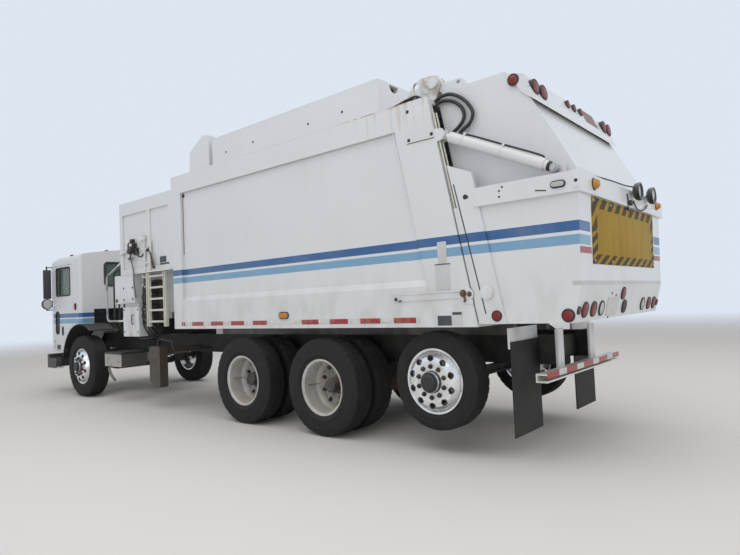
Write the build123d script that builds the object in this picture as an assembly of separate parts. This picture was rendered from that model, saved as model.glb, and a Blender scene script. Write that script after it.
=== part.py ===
from build123d import *
from math import cos, hypot, radians, sin, sqrt
import os

os.makedirs("parts", exist_ok=True)

# Driving sizes in millimetres.
# X runs forward from the rear drive axle, Y to the left and Z up from the floor.
# Heights of the body and the cab start from the rails, and the rails from the tyres.

# Axles and tyres
FRONT_AXLE_X = 5880.0
REAR_AXLE_X = 0.0
TANDEM_GAP = 1362.0
TAG_AXLE_X = -1410.0
TYRE_R = 525.0
TAG_TYRE_LESS = 65.0
DRIVE_OUTER_Y = 1060.0
DUAL_GAP = 345.0
FRONT_WHEEL_Y = 1035.0
TAG_WHEEL_Y = 990.0
DRIVE_TYRE_W = 280.0
FRONT_TYRE_W = 290.0
TAG_TYRE_W = 255.0
RIM_R = 286.0
RIM_FLANGE = 18.0
RIM_HALF_W = 118.0
RIM_WALL = 11.0
KINGPIN_Y = 800.0
TAG_KINGPIN_Y = 760.0
KINGPIN_R = 20.0
SPINDLE_R = 40.0
DRIVE_SPINDLE_R = 60.0

# Chassis
AXLE_TO_RAIL = 245.0
TAG_AXLE_TO_RAIL = 110.0
RAIL_HEIGHT = 270.0
RAIL_REAR_X = -2330.0
RAIL_OUT_Y = 432.0
RAIL_WEB = 10.0
RAIL_FLANGE = 85.0
RAIL_LOW_Z = TYRE_R + AXLE_TO_RAIL
RAIL_TOP_Z = RAIL_LOW_Z + RAIL_HEIGHT
ENGINE_REAR_X = 4850.0
ENGINE_LENGTH = 950.0
ENGINE_HALF_W = 290.0

# Load body
BODY_HALF_W = 1220.0
BODY_HEIGHT = 2105.0
SILL_HEIGHT = 125.0
BODY_FRONT_X = 2780.0
BODY_REAR_TOP_X = -1550.0
BODY_REAR_SLANT = 410.0
BODY_WALL = 70.0
BODY_FLOOR = 50.0
PANEL_DEPTH = 40.0
FRONT_POST = 220.0
TOP_RAIL = 240.0
LOW_RAIL = 375.0
REAR_FRAME_W = 430.0
BODY_LOW_Z = RAIL_TOP_Z + SILL_HEIGHT
BODY_TOP_Z = BODY_LOW_Z + BODY_HEIGHT
BODY_REAR_LOW_X = BODY_REAR_TOP_X - BODY_REAR_SLANT
LOW_RAIL_TOP_Z = BODY_LOW_Z + LOW_RAIL

# Hopper
HOPPER_LENGTH = 1500.0
HOPPER_DROP = 160.0
HOPPER_WALL = 50.0
HOPPER_NECK_Y = 930.0
HOPPER_FRONT_X = BODY_FRONT_X + HOPPER_LENGTH
HOPPER_TOP_Z = BODY_TOP_Z - HOPPER_DROP
HOPPER_NECK_Z = BODY_LOW_Z + 835
HOPPER_FLOOR_Z = BODY_LOW_Z + 235
SILL_Z = HOPPER_NECK_Z + 330
SILL_REAR_X = BODY_FRONT_X + 400
PANEL_SINK = 22.0

# Gas tank enclosure on the roof
ROOF_BOX_LENGTH = 2880.0
ROOF_BOX_HEIGHT = 430.0
FAIRING_HEIGHT = 530.0
ROOF_EDGE = 180.0
FAIRING_FRONT_X = BODY_FRONT_X - 220
FAIRING_PEAK_X = FAIRING_FRONT_X - 310
FAIRING_REAR_X = FAIRING_PEAK_X - 140
FAIRING_TOP_Z = BODY_TOP_Z + FAIRING_HEIGHT
ROOF_BOX_FRONT_X = FAIRING_REAR_X - 80
ROOF_BOX_REAR_X = ROOF_BOX_FRONT_X - ROOF_BOX_LENGTH
ROOF_BOX_TOP_Z = BODY_TOP_Z + ROOF_BOX_HEIGHT
ROOF_BOX_HALF_W = BODY_HALF_W - ROOF_EDGE

# Tailgate and its pivot
PIVOT_RISE = 180.0
PIVOT_R = 30.0
TAIL_GAP = 12.0
TAIL_WALL = 20.0
TAIL_REACH = 1370.0
BEAM_HEIGHT = 160.0
BEAM_PLATE = 12.0
PIVOT_X = BODY_REAR_TOP_X + 20
PIVOT_Y = BODY_HALF_W - 220
PIVOT_Z = BODY_TOP_Z + PIVOT_RISE
TAIL_HALF_W = BODY_HALF_W + 10
TAIL_TOP_HALF_W = BODY_HALF_W - 180
TAIL_LOW_Z = BODY_LOW_Z + 25
TAIL_TOP_Z = BODY_TOP_Z + 80
BEAM_LOW_Z = TAIL_LOW_Z + 1000
BEAM_TOP_Z = BEAM_LOW_Z + BEAM_HEIGHT
BEAM_HALF_W = BODY_HALF_W + 30
BEAM_REAR_X = PIVOT_X - TAIL_REACH
TAIL_LOW_REAR_X = BEAM_REAR_X + 120
WORK_LAMP_R = 84.0
WORK_LAMP_REACH = 84.0

# Tailgate lift cylinders, measured between the centres of their eyes
CYLINDER_Y = BODY_HALF_W - 50
BASE_EYE = (BODY_REAR_TOP_X - 126, BODY_TOP_Z - 373)
ROD_EYE = (BEAM_REAR_X + 218, BEAM_TOP_Z + 63)
BARREL_R = 50.0
ROD_R = 25.0
EYE_R = 42.0
ROD_EYE_R = 33.0
EYE_HALF_W = 26.0
PIN_R = 20.0

# Cab
CAB_REAR_X = 5930.0
CAB_LENGTH = 1370.0
CAB_HALF_W = 1150.0
CAB_HEIGHT = 1850.0
CAB_CROWN = 115.0
CAB_WALL = 40.0
ARCH_GAP = 175.0
DOOR_GAP = 6.0
CAB_FRONT_X = CAB_REAR_X + CAB_LENGTH
CAB_LOW_Z = RAIL_LOW_Z - 20
CAB_ROOF_Z = CAB_LOW_Z + CAB_HEIGHT
ARCH_R = TYRE_R + ARCH_GAP
ARCH_Z = TYRE_R + 35
DOOR_REAR_X = CAB_REAR_X + 300
DOOR_FRONT_X = CAB_FRONT_X - 320
DOOR_LOW_Z = CAB_LOW_Z + 30
DOOR_TOP_Z = CAB_ROOF_Z - 270
DOOR_HINGE_X = DOOR_FRONT_X + 15
DOOR_HINGE_Y = CAB_HALF_W + 16
CAB_PIVOT = (CAB_FRONT_X - 20, CAB_LOW_Z - 25)
CAB_PIVOT_Y = 300.0
CAB_PIN_R = 10.0
CAB_RING_R = 18.0
CAB_RING_HALF_W = 30.0
RAIL_FRONT_X = CAB_FRONT_X - 220
BUMPER_HEIGHT = 250.0
BUMPER_DEPTH = 160.0
BUMPER_FRONT_X = CAB_FRONT_X + 80
BUMPER_HALF_W = CAB_HALF_W + 30
BUMPER_TOP_Z = CAB_LOW_Z - 50
BUMPER_LOW_Z = BUMPER_TOP_Z - BUMPER_HEIGHT

# Side arm
ARM_LENGTH = 1130.0
ARM_W = 120.0
SLIDE_HEIGHT = 240.0
FINGER_LENGTH = 620.0
ARM_X = HOPPER_FRONT_X - 410
ARM_PIVOT_Y = -HOPPER_NECK_Y - 170
ARM_PIVOT_Z = RAIL_TOP_Z + 680
SLIDE_LOW_Z = RAIL_TOP_Z + 20
SLIDE_TOP_Z = SLIDE_LOW_Z + SLIDE_HEIGHT

# Running clearances
PIN_FIT = 0.05
SEAT_GAP = 0.3
MOVE_GAP = 6.0

# Worked out from the sizes above
WHEEL_Z = TYRE_R
TAG_TYRE_R = TYRE_R - TAG_TYRE_LESS
TAG_Z = RAIL_LOW_Z - TAG_AXLE_TO_RAIL
MID_AXLE_X = REAR_AXLE_X + TANDEM_GAP
RIM_FLANGE_R = RIM_R + RIM_FLANGE
CENTRE_X = (BUMPER_FRONT_X + BEAM_REAR_X - WORK_LAMP_REACH) / 2


def block(x, y, z):
    """A box between three (low, high) pairs."""
    sizes = [high - low for low, high in (x, y, z)]
    middle = [(high + low) / 2 for low, high in (x, y, z)]
    return Pos(*middle) * Box(*sizes)


def bar(start, end, radius):
    """A round bar from one point to another."""
    run = Vector(*end) - Vector(*start)
    plane = Plane(origin=start, z_dir=run)
    return plane * Cylinder(radius, run.length, align=(Align.CENTER, Align.CENTER, Align.MIN))


def side_plate(points, y_low, y_high):
    """An outline in the side view, given as (x, z) points, between two Y planes."""
    outline = Polyline(*[(x, y_low, z) for x, z in points], close=True)
    return extrude(make_face(outline.edges()), amount=y_high - y_low, dir=(0, 1, 0))


def cross_plate(points, x_low, x_high):
    """An outline in the end view, given as (y, z) points, between two X planes."""
    outline = Polyline(*[(x_low, y, z) for y, z in points], close=True)
    return extrude(make_face(outline.edges()), amount=x_high - x_low, dir=(1, 0, 0))


def spun(points, x, y, z, side):
    """A ring about an axle: (radius, outward) points turned about the Y line through x, z."""
    outline = Polyline(*[(radius, 0, outward) for radius, outward in points], close=True)
    ring = revolve(make_face(outline.edges()), Axis.Z)
    return Pos(x, y, z) * Rot(-90 * side, 0, 0) * ring


def axle_bar(x, y_low, y_high, z, radius):
    """A round bar along Y."""
    return bar((x, y_low, z), (x, y_high, z), radius)


def mirrored(shape):
    """The same piece on the right side."""
    return mirror(shape, about=Plane.XZ)


def on_side(shape, side):
    """The left piece as it is, or mirrored for the right."""
    return shape if side > 0 else mirrored(shape)


def pipe(points, radius, bend):
    """A round pipe or hose along straight runs with rounded bends."""
    path = FilletPolyline(*points, radius=bend)
    section = Plane(origin=path @ 0, z_dir=path % 0) * Circle(radius)
    return sweep(section, path=path)


def write(node, *shapes):
    """Write one node, with the origin at the middle of the truck's length."""
    solids = [Pos(-CENTRE_X, 0, 0) * solid for shape in shapes for solid in shape.solids()]
    export_step(solids[0] if len(solids) == 1 else Compound(children=solids), f"parts/{node}.step")


# Wheels


def tyre(radius, width, x, y, z, side):
    """One tyre, with flat tread, square shoulders and walls that bulge past the rim."""
    half = width / 2
    bead = RIM_R + SEAT_GAP
    bead_half = RIM_HALF_W - 14 - SEAT_GAP
    wall = radius - bead
    one_wall = [
        (bead, bead_half),
        (RIM_FLANGE_R + 4, bead_half),
        (bead + 0.28 * wall, half),
        (bead + 0.80 * wall, half - 7),
        (radius - 9, half - 22),
        (radius, half - 48),
    ]
    other_wall = [(r, -w) for r, w in reversed(one_wall)]
    return spun(one_wall + other_wall, x, y, z, side)


def rim_barrel(x, y, z, side):
    """The rolled rim that carries a tyre, with a flange at each edge."""
    half = RIM_HALF_W
    points = [
        (RIM_FLANGE_R, -half),
        (RIM_FLANGE_R, -half + 8),
        (RIM_R, -half + 14),
        (RIM_R, half - 14),
        (RIM_FLANGE_R, half - 8),
        (RIM_FLANGE_R, half),
        (RIM_R, half - 2),
        (RIM_R - RIM_WALL, half - 16),
        (RIM_R - RIM_WALL, -half + 16),
        (RIM_R, -half + 2),
    ]
    return spun(points, x, y, z, side)


DISC_OFFSET = 170.0
DISC_T = 13.0
DISC_BORE_R = 100.0
HAND_HOLES = 10
HAND_HOLE_R = 26.0
HAND_HOLE_CIRCLE_R = 215.0


def rim_disc(x, y, z, side):
    """The dished disc of a rim, with its bolting face DISC_OFFSET out from the tyre's middle."""
    root = DISC_OFFSET - 95
    points = [
        (RIM_R - RIM_WALL + 1, root),
        (RIM_R - RIM_WALL + 1, root + 30),
        (232, DISC_OFFSET - 8),
        (190, DISC_OFFSET),
        (DISC_BORE_R, DISC_OFFSET),
        (DISC_BORE_R, DISC_OFFSET - DISC_T),
        (190, DISC_OFFSET - DISC_T),
        (222, DISC_OFFSET - DISC_T - 12),
    ]
    disc = spun(points, x, y, z, side)
    for turn in range(HAND_HOLES):
        angle = radians(360 / HAND_HOLES * (turn + 0.5))
        hole_x = x + HAND_HOLE_CIRCLE_R * cos(angle)
        hole_z = z + HAND_HOLE_CIRCLE_R * sin(angle)
        near = y + side * (root - 20)
        far = y + side * (DISC_OFFSET + 20)
        disc -= bar((hole_x, near, hole_z), (hole_x, far, hole_z), HAND_HOLE_R)
    return disc


def hub(x, y, z, side, inner, face, outer, bore_r):
    """A hub and brake drum: the drum from inner to face, then the nose out to outer."""
    drum_r = 190.0
    nose_r = DISC_BORE_R - 2
    points = [
        (bore_r + PIN_FIT, inner),
        (drum_r, inner),
        (drum_r, face - 30),
        (drum_r - 15, face),
        (nose_r, face),
        (nose_r, face + 45),
        (nose_r - 22, outer),
        (bore_r + PIN_FIT, outer),
    ]
    return spun(points, x, y, z, side)


def hub_cap(x, y, z, side, outer, bore_r):
    """The closed cap over the end of a hub."""
    radius = DISC_BORE_R - 26
    points = [(0, outer), (radius, outer), (radius, outer + 14), (radius - 12, outer + 24), (0, outer + 24)]
    return spun(points, x, y, z, side)


def dual_rims(x, side):
    """Two rims back to back on one hub, the inner turned to face out and the outer to face in."""
    outer_y = side * DRIVE_OUTER_Y
    inner_y = side * (DRIVE_OUTER_Y - DUAL_GAP)
    outer = rim_barrel(x, outer_y, WHEEL_Z, side) + rim_disc(x, outer_y, WHEEL_Z, -side)
    inner = rim_barrel(x, inner_y, WHEEL_Z, side) + rim_disc(x, inner_y, WHEEL_Z, side)
    face = DISC_OFFSET - DISC_T
    carrier = hub(x, inner_y, WHEEL_Z, side, -60, face, DISC_OFFSET + 150, DRIVE_SPINDLE_R)
    cap = hub_cap(x, inner_y, WHEEL_Z, side, DISC_OFFSET + 150, DRIVE_SPINDLE_R)
    bridge = spun(
        [
            (DISC_BORE_R - 5, DISC_OFFSET - DISC_T),
            (DISC_BORE_R + 40, DISC_OFFSET - DISC_T),
            (DISC_BORE_R + 40, DUAL_GAP - DISC_OFFSET + DISC_T),
            (DISC_BORE_R - 5, DUAL_GAP - DISC_OFFSET + DISC_T),
        ],
        x,
        inner_y,
        WHEEL_Z,
        side,
    )
    return outer + inner + carrier + cap + bridge


def single_rim(x, y, z, side):
    """A single wheel whose disc and hub face out."""
    rim = rim_barrel(x, side * y, z, side) + rim_disc(x, side * y, z, side)
    carrier = hub(x, side * y, z, side, 10, DISC_OFFSET - DISC_T + 1, DISC_OFFSET + 40, SPINDLE_R)
    cap = hub_cap(x, side * y, z, side, DISC_OFFSET + 40, SPINDLE_R)
    return rim + carrier + cap


SIDES = (("left", 1), ("right", -1))

for side_name, side in SIDES:
    for axle_name, axle_x in (("mid", MID_AXLE_X), ("rear", REAR_AXLE_X)):
        outer_tyre = tyre(TYRE_R, DRIVE_TYRE_W, axle_x, side * DRIVE_OUTER_Y, WHEEL_Z, side)
        inner_tyre = tyre(TYRE_R, DRIVE_TYRE_W, axle_x, side * (DRIVE_OUTER_Y - DUAL_GAP), WHEEL_Z, side)
        write(f"tyres_{axle_name}_{side_name}", outer_tyre, inner_tyre)
        write(f"rims_{axle_name}_{side_name}", dual_rims(axle_x, side))
    front_tyre = tyre(TYRE_R, FRONT_TYRE_W, FRONT_AXLE_X, side * FRONT_WHEEL_Y, WHEEL_Z, side)
    write(f"tyre_front_{side_name}", front_tyre)
    write(f"rim_front_{side_name}", single_rim(FRONT_AXLE_X, FRONT_WHEEL_Y, WHEEL_Z, side))
    tag_tyre = tyre(TAG_TYRE_R, TAG_TYRE_W, TAG_AXLE_X, side * TAG_WHEEL_Y, TAG_Z, side)
    write(f"tyre_tag_{side_name}", tag_tyre)
    write(f"rim_tag_{side_name}", single_rim(TAG_AXLE_X, TAG_WHEEL_Y, TAG_Z, side))


# Axles, knuckles and springs

BOSS_HALF_H = 62.0
BOSS_R = 46.0
FORK_T = 34.0
FORK_R = 52.0


def steer_beam(x, z, kingpin_y, beam_half_h, drop):
    """A steer axle: an I-beam whose ends rise to the kingpin bosses."""
    low = z - drop
    half = beam_half_h
    middle = block((x - 45, x + 45), (-kingpin_y + 260, kingpin_y - 260), (low - half, low + half))
    beam = middle
    for side in (1, -1):
        rise = cross_plate(
            [
                (side * (kingpin_y - 261), low - half),
                (side * (kingpin_y - 261), low + half),
                (side * (kingpin_y - 90), z + 50),
                (side * (kingpin_y - 20), z + 50),
                (side * (kingpin_y - 20), z - 50),
                (side * (kingpin_y - 60), z - 50),
            ],
            x - 45,
            x + 45,
        )
        boss = bar((x, side * kingpin_y, z - BOSS_HALF_H), (x, side * kingpin_y, z + BOSS_HALF_H), BOSS_R)
        beam += rise + boss
    groove = block((x + 18, x + 46), (-kingpin_y + 200, kingpin_y - 200), (low - half + 20, low + half - 20))
    other_groove = block((x - 46, x - 18), (-kingpin_y + 200, kingpin_y - 200), (low - half + 20, low + half - 20))
    beam = beam - groove - other_groove
    for side in (1, -1):
        bore = bar((x, side * kingpin_y, z - 100), (x, side * kingpin_y, z + 100), KINGPIN_R + PIN_FIT)
        beam -= bore
    return beam


def knuckle(x, z, kingpin_y, spindle_end_y, side):
    """A forked knuckle about its kingpin, with the spindle that the wheel turns on."""
    gap = BOSS_HALF_H + SEAT_GAP
    back_y = kingpin_y + BOSS_R + 10
    piece = bar((x, kingpin_y, z - gap - FORK_T), (x, kingpin_y, z + gap + FORK_T), KINGPIN_R)
    for low in (z - gap - FORK_T, z + gap):
        plate = bar((x, kingpin_y, low), (x, kingpin_y, low + FORK_T), FORK_R)
        plate += block((x - FORK_R, x + FORK_R), (kingpin_y, back_y + 30), (low, low + FORK_T))
        piece += plate
    back = block((x - FORK_R, x + FORK_R), (back_y, back_y + 30), (z - gap - FORK_T, z + gap + FORK_T))
    spindle = axle_bar(x, back_y + 29, spindle_end_y, z, SPINDLE_R)
    arm = block((x - 190, x - 20), (kingpin_y - 30, kingpin_y + 30), (z - gap - FORK_T, z - gap - 4))
    return on_side(piece + back + spindle + arm, side)


def drive_axle(x):
    """A drive axle housing with its round middle, tubes and spindle ends."""
    tube_end = DRIVE_OUTER_Y - DUAL_GAP - 64
    housing = axle_bar(x, -tube_end, tube_end, WHEEL_Z, 75)
    bowl = bar((x - 130, 0, WHEEL_Z), (x + 130, 0, WHEEL_Z), 190)
    nose = bar((x + 120, 0, WHEEL_Z), (x + 330, 0, WHEEL_Z), 110)
    spindle_end = DRIVE_OUTER_Y - DUAL_GAP + DISC_OFFSET + 140
    spindles = axle_bar(x, -spindle_end, spindle_end, WHEEL_Z, DRIVE_SPINDLE_R)
    return housing + bowl + nose + spindles


write("front_axle", steer_beam(FRONT_AXLE_X, WHEEL_Z, KINGPIN_Y, 55, 60))
write("tag_axle", steer_beam(TAG_AXLE_X, TAG_Z, TAG_KINGPIN_Y, 45, 10))
write("drive_axles", drive_axle(REAR_AXLE_X), drive_axle(MID_AXLE_X))
for side_name, side in SIDES:
    front_end = FRONT_WHEEL_Y + DISC_OFFSET + 30
    tag_end = TAG_WHEEL_Y + DISC_OFFSET + 30
    write(f"knuckle_front_{side_name}", knuckle(FRONT_AXLE_X, WHEEL_Z, KINGPIN_Y, front_end, side))
    write(f"knuckle_tag_{side_name}", knuckle(TAG_AXLE_X, TAG_Z, TAG_KINGPIN_Y, tag_end, side))


def leaf_pack(x, half_length, low_z, y):
    """A leaf pack that tapers to its ends, seated on an axle and hung from the rail."""
    leaves = [(half_length, 16), (half_length * 0.8, 16), (half_length * 0.6, 16), (half_length * 0.4, 18)]
    z = RAIL_LOW_Z - 40
    pack = None
    for half, thick in leaves:
        leaf = block((x - half, x + half), (y - 45, y + 45), (z - thick, z))
        pack = leaf if pack is None else pack + leaf
        z -= thick
    seat = block((x - 70, x + 70), (y - 45, y + 45), (low_z, z + 1))
    ends = block((x - half_length, x - half_length + 60), (y - 45, y + 45), (RAIL_LOW_Z - 41, RAIL_LOW_Z))
    ends += block((x + half_length - 60, x + half_length), (y - 45, y + 45), (RAIL_LOW_Z - 41, RAIL_LOW_Z))
    return pack + seat + ends


def springs():
    """Front leaf packs, tandem beams and the tag axle's air bags."""
    pieces = []
    spring_y = RAIL_OUT_Y - RAIL_FLANGE / 2
    front_seat_z = WHEEL_Z - 60 + 55
    for side in (1, -1):
        pieces.append(leaf_pack(FRONT_AXLE_X, 720, front_seat_z, side * spring_y))
        for axle_x in (REAR_AXLE_X, MID_AXLE_X):
            pieces.append(leaf_pack(axle_x, 560, WHEEL_Z + 75 + SEAT_GAP, side * spring_y))
        bag_low = TAG_Z - 10 + 45
        pieces.append(bar((TAG_AXLE_X, side * spring_y, bag_low), (TAG_AXLE_X, side * spring_y, RAIL_LOW_Z), 42))
    return pieces


write("springs", *springs())


# Chassis

CROSSMEMBERS = (-2200, -860, 640, 2150, 3300, 4770, 5800, RAIL_FRONT_X - 130)
CROSSMEMBER_W = 80.0
NOTCH_TOP_Z = RAIL_TOP_Z + 470
CAB_REST_X = (CAB_REAR_X + 20, CAB_REAR_X + 80)
CAB_REST_Z = NOTCH_TOP_Z - SEAT_GAP


def chassis_frame():
    """Two channel rails joined by crossmembers."""
    frame = None
    for side in (1, -1):
        out = side * RAIL_OUT_Y
        web = side * (RAIL_OUT_Y - RAIL_WEB)
        tip = side * (RAIL_OUT_Y - RAIL_FLANGE)
        rail = cross_plate(
            [
                (out, RAIL_LOW_Z),
                (out, RAIL_TOP_Z),
                (tip, RAIL_TOP_Z),
                (tip, RAIL_TOP_Z - RAIL_WEB),
                (web, RAIL_TOP_Z - RAIL_WEB),
                (web, RAIL_LOW_Z + RAIL_WEB),
                (tip, RAIL_LOW_Z + RAIL_WEB),
                (tip, RAIL_LOW_Z),
            ],
            RAIL_REAR_X,
            RAIL_FRONT_X,
        )
        frame = rail if frame is None else frame + rail
    inside = RAIL_OUT_Y - RAIL_WEB + 1
    for x in CROSSMEMBERS:
        outer = block((x, x + CROSSMEMBER_W), (-inside, inside), (RAIL_LOW_Z + 30, RAIL_TOP_Z - 40))
        frame += outer
    for side in (1, -1):
        post_y = tuple(sorted((side * (RAIL_OUT_Y - 70), side * RAIL_OUT_Y)))
        frame += block(CAB_REST_X, post_y, (RAIL_TOP_Z - 1, CAB_REST_Z))
    rest_bar = (-RAIL_OUT_Y, RAIL_OUT_Y)
    frame += block(CAB_REST_X, rest_bar, (CAB_REST_Z - 70, CAB_REST_Z))
    return frame


write("chassis_frame", chassis_frame())
engine_front = ENGINE_REAR_X + ENGINE_LENGTH
engine_z = (RAIL_LOW_Z - 120, RAIL_TOP_Z + 340)
write("engine_block", block((ENGINE_REAR_X, engine_front), (-ENGINE_HALF_W, ENGINE_HALF_W), engine_z))


# Load body


def body_edge_x(z):
    """Where the slanted rear edge of the body lies at a height."""
    share = (z - BODY_LOW_Z) / (BODY_TOP_Z - BODY_LOW_Z)
    return BODY_REAR_LOW_X + share * (BODY_REAR_TOP_X - BODY_REAR_LOW_X)


EAR_T = 30.0
EAR_OUT = 65.0
EAR_HOLE_R = 32.0


def pivot_ear(y):
    """One tall plate of the tailgate's hinge, with a lifting hole ahead of the pin."""
    plate = side_plate(
        [
            (PIVOT_X + 400, BODY_TOP_Z - 1),
            (PIVOT_X + 322, PIVOT_Z - 97),
            (PIVOT_X + 262, PIVOT_Z - 5),
            (PIVOT_X + 222, PIVOT_Z + 50),
            (PIVOT_X + 150, PIVOT_Z + 76),
            (PIVOT_X + 30, PIVOT_Z + 74),
            (PIVOT_X - 42, PIVOT_Z + 58),
            (PIVOT_X - 70, PIVOT_Z),
            (PIVOT_X - 18, BODY_TOP_Z - 1),
        ],
        y,
        y + EAR_T,
    )
    return plate - axle_bar(PIVOT_X + 200, y - 1, y + EAR_T + 1, PIVOT_Z + 17, EAR_HOLE_R)


def body_shell():
    """The hollow load body with recessed sides, a slanted rear frame, hinge ears and sills."""
    outline = [
        (BODY_FRONT_X, BODY_LOW_Z),
        (BODY_FRONT_X, BODY_TOP_Z),
        (BODY_REAR_TOP_X, BODY_TOP_Z),
        (BODY_REAR_LOW_X, BODY_LOW_Z),
    ]
    shell = side_plate(outline, -BODY_HALF_W, BODY_HALF_W)
    inside = BODY_HALF_W - BODY_WALL
    far = 400
    shell -= block(
        (BODY_REAR_LOW_X - far, BODY_FRONT_X - BODY_WALL),
        (-inside, inside),
        (BODY_LOW_Z + BODY_FLOOR, BODY_TOP_Z - BODY_FLOOR),
    )
    mouth_half = HOPPER_NECK_Y - HOPPER_WALL
    mouth_z = (HOPPER_FLOOR_Z + HOPPER_WALL, HOPPER_NECK_Z + HOPPER_WALL)
    shell -= block((BODY_FRONT_X - BODY_WALL - 1, BODY_FRONT_X + 1), (-mouth_half, mouth_half), mouth_z)
    recess_top = BODY_TOP_Z - TOP_RAIL
    recess_low = LOW_RAIL_TOP_Z
    recess_front = BODY_FRONT_X - FRONT_POST
    recess = [
        (recess_front, recess_low),
        (recess_front, recess_top),
        (body_edge_x(recess_top) + REAR_FRAME_W, recess_top),
        (body_edge_x(recess_low) + REAR_FRAME_W, recess_low),
    ]
    lip = [
        (BODY_HALF_W - PANEL_DEPTH, recess_low + 60),
        (BODY_HALF_W - PANEL_DEPTH, recess_low - 1),
        (BODY_HALF_W + 1, recess_low - 1),
        (BODY_HALF_W + 0.5, recess_low),
    ]
    pocket = side_plate(recess, BODY_HALF_W - PANEL_DEPTH, BODY_HALF_W + 1)
    pocket -= cross_plate(lip, body_edge_x(recess_low) + REAR_FRAME_W - 10, recess_front + 10)
    shell = shell - pocket - mirrored(pocket)
    for side in (1, -1):
        sill = block(
            (BODY_REAR_LOW_X + 60, BODY_FRONT_X - 20),
            (side * (RAIL_OUT_Y - 40) - 40, side * (RAIL_OUT_Y - 40) + 40),
            (RAIL_TOP_Z, BODY_LOW_Z + 1),
        )
        shell += sill
        for ear_y in (PIVOT_Y - EAR_OUT, PIVOT_Y + EAR_OUT - EAR_T):
            shell += on_side(pivot_ear(ear_y), side)
        pin = axle_bar(PIVOT_X, PIVOT_Y - EAR_OUT + 5, PIVOT_Y + EAR_OUT - 5, PIVOT_Z, PIVOT_R)
        outer_face = PIVOT_Y + EAR_OUT - 1
        boss = axle_bar(PIVOT_X, outer_face, outer_face + 24, PIVOT_Z, 2 * PIVOT_R)
        keeper = axle_bar(PIVOT_X + 78, outer_face, outer_face + 13, PIVOT_Z + 12, PIVOT_R)
        shell += on_side(pin + boss + keeper, side)
        for lug_y in (CYLINDER_Y - 50, CYLINDER_Y + 29):
            edge = body_edge_x(BASE_EYE[1])
            lug = side_plate(
                [
                    (edge + 90, BASE_EYE[1] + 75),
                    (BASE_EYE[0] - 20, BASE_EYE[1] + 50),
                    (BASE_EYE[0] - 45, BASE_EYE[1]),
                    (BASE_EYE[0] - 20, BASE_EYE[1] - 45),
                    (edge + 70, BASE_EYE[1] - 75),
                ],
                lug_y,
                lug_y + 21,
            )
            shell += on_side(lug, side)
        lug_pin = axle_bar(BASE_EYE[0], CYLINDER_Y - 30, CYLINDER_Y + 30, BASE_EYE[1], PIN_R)
        shell += on_side(lug_pin, side)
    return shell


write("body_shell", body_shell())


# Hopper


PANEL_LOW = 80.0
PANEL_TOP = 190.0
HOPPER_PANELS = (
    # side, then X from the body's front at both ends of a framed panel, and whether it lies under the sill
    (1, 90, 600, False),
    (1, 690, 1410, False),
    (-1, 90, 340, False),
    (-1, 460, 900, True),
    (-1, 990, 1410, True),
)


def hopper():
    """The open hopper: full width above its neck, narrow below it, with a low sill on the loading side."""
    x0, x1 = BODY_FRONT_X, HOPPER_FRONT_X
    wide = BODY_HALF_W
    outer = block((x0, x1), (-wide, wide), (HOPPER_NECK_Z, HOPPER_TOP_Z))
    outer += block((x0, x1), (-HOPPER_NECK_Y, HOPPER_NECK_Y), (HOPPER_FLOOR_Z, HOPPER_NECK_Z))
    inside_x = (x0 - 1, x1 - HOPPER_WALL)
    neck_in = HOPPER_NECK_Y - HOPPER_WALL
    wide_in = wide - HOPPER_WALL
    outer -= block(inside_x, (-wide_in, wide_in), (HOPPER_NECK_Z + HOPPER_WALL, HOPPER_TOP_Z + 1))
    outer -= block(inside_x, (-neck_in, neck_in), (HOPPER_FLOOR_Z + HOPPER_WALL, HOPPER_NECK_Z + HOPPER_WALL + 1))
    outer -= block((SILL_REAR_X, x1 - HOPPER_WALL), (-wide - 1, -wide_in + 1), (SILL_Z, HOPPER_TOP_Z + 1))
    for side, rear, front, under_sill in HOPPER_PANELS:
        sunk = tuple(sorted((side * (wide - PANEL_SINK), side * (wide + 1))))
        top = SILL_Z - 60 if under_sill else HOPPER_TOP_Z - PANEL_TOP
        outer -= block((x0 + rear, x0 + front), sunk, (HOPPER_NECK_Z + PANEL_LOW, top))
    sill_in = RAIL_OUT_Y - 80
    for side in (1, -1):
        post = block(
            (x0, x0 + 160),
            tuple(sorted((side * sill_in, side * RAIL_OUT_Y))),
            (RAIL_TOP_Z, HOPPER_FLOOR_Z + 1),
        )
        front = block(
            (x1 - 120, x1),
            tuple(sorted((side * sill_in, side * RAIL_OUT_Y))),
            (RAIL_TOP_Z, HOPPER_FLOOR_Z + 1),
        )
        outer += post + front
    return outer


write("hopper", hopper())

BLADE_LENGTH = 430.0
BLADE_TOP_Z = HOPPER_NECK_Z - 20
blade_half = HOPPER_NECK_Y - HOPPER_WALL - MOVE_GAP
blade_front = HOPPER_FRONT_X - HOPPER_WALL - MOVE_GAP
blade_low = HOPPER_FLOOR_Z + HOPPER_WALL + SEAT_GAP
blade = side_plate(
    [
        (blade_front, blade_low),
        (blade_front, BLADE_TOP_Z),
        (blade_front - BLADE_LENGTH + 90, BLADE_TOP_Z),
        (blade_front - BLADE_LENGTH, BLADE_TOP_Z - 120),
        (blade_front - BLADE_LENGTH, blade_low),
    ],
    -blade_half,
    blade_half,
)
write("packer_blade", blade)


# Roof enclosure


VENT_Y = 265.0
VENT_R = 76.0
VENT_DEPTH = 120.0


def vent(side):
    """A pocket in the enclosure's rear face, flat at its top and round below."""
    x, z = ROOF_BOX_REAR_X, ROOF_BOX_TOP_Z - 16
    y = side * (ROOF_BOX_HALF_W - VENT_Y)
    round_pocket = bar((x - 1, y, z), (x + VENT_DEPTH, y, z), VENT_R)
    lower_half = block((x - 2, x + VENT_DEPTH + 1), (y - VENT_R, y + VENT_R), (z - VENT_R, z))
    return round_pocket & lower_half


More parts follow.
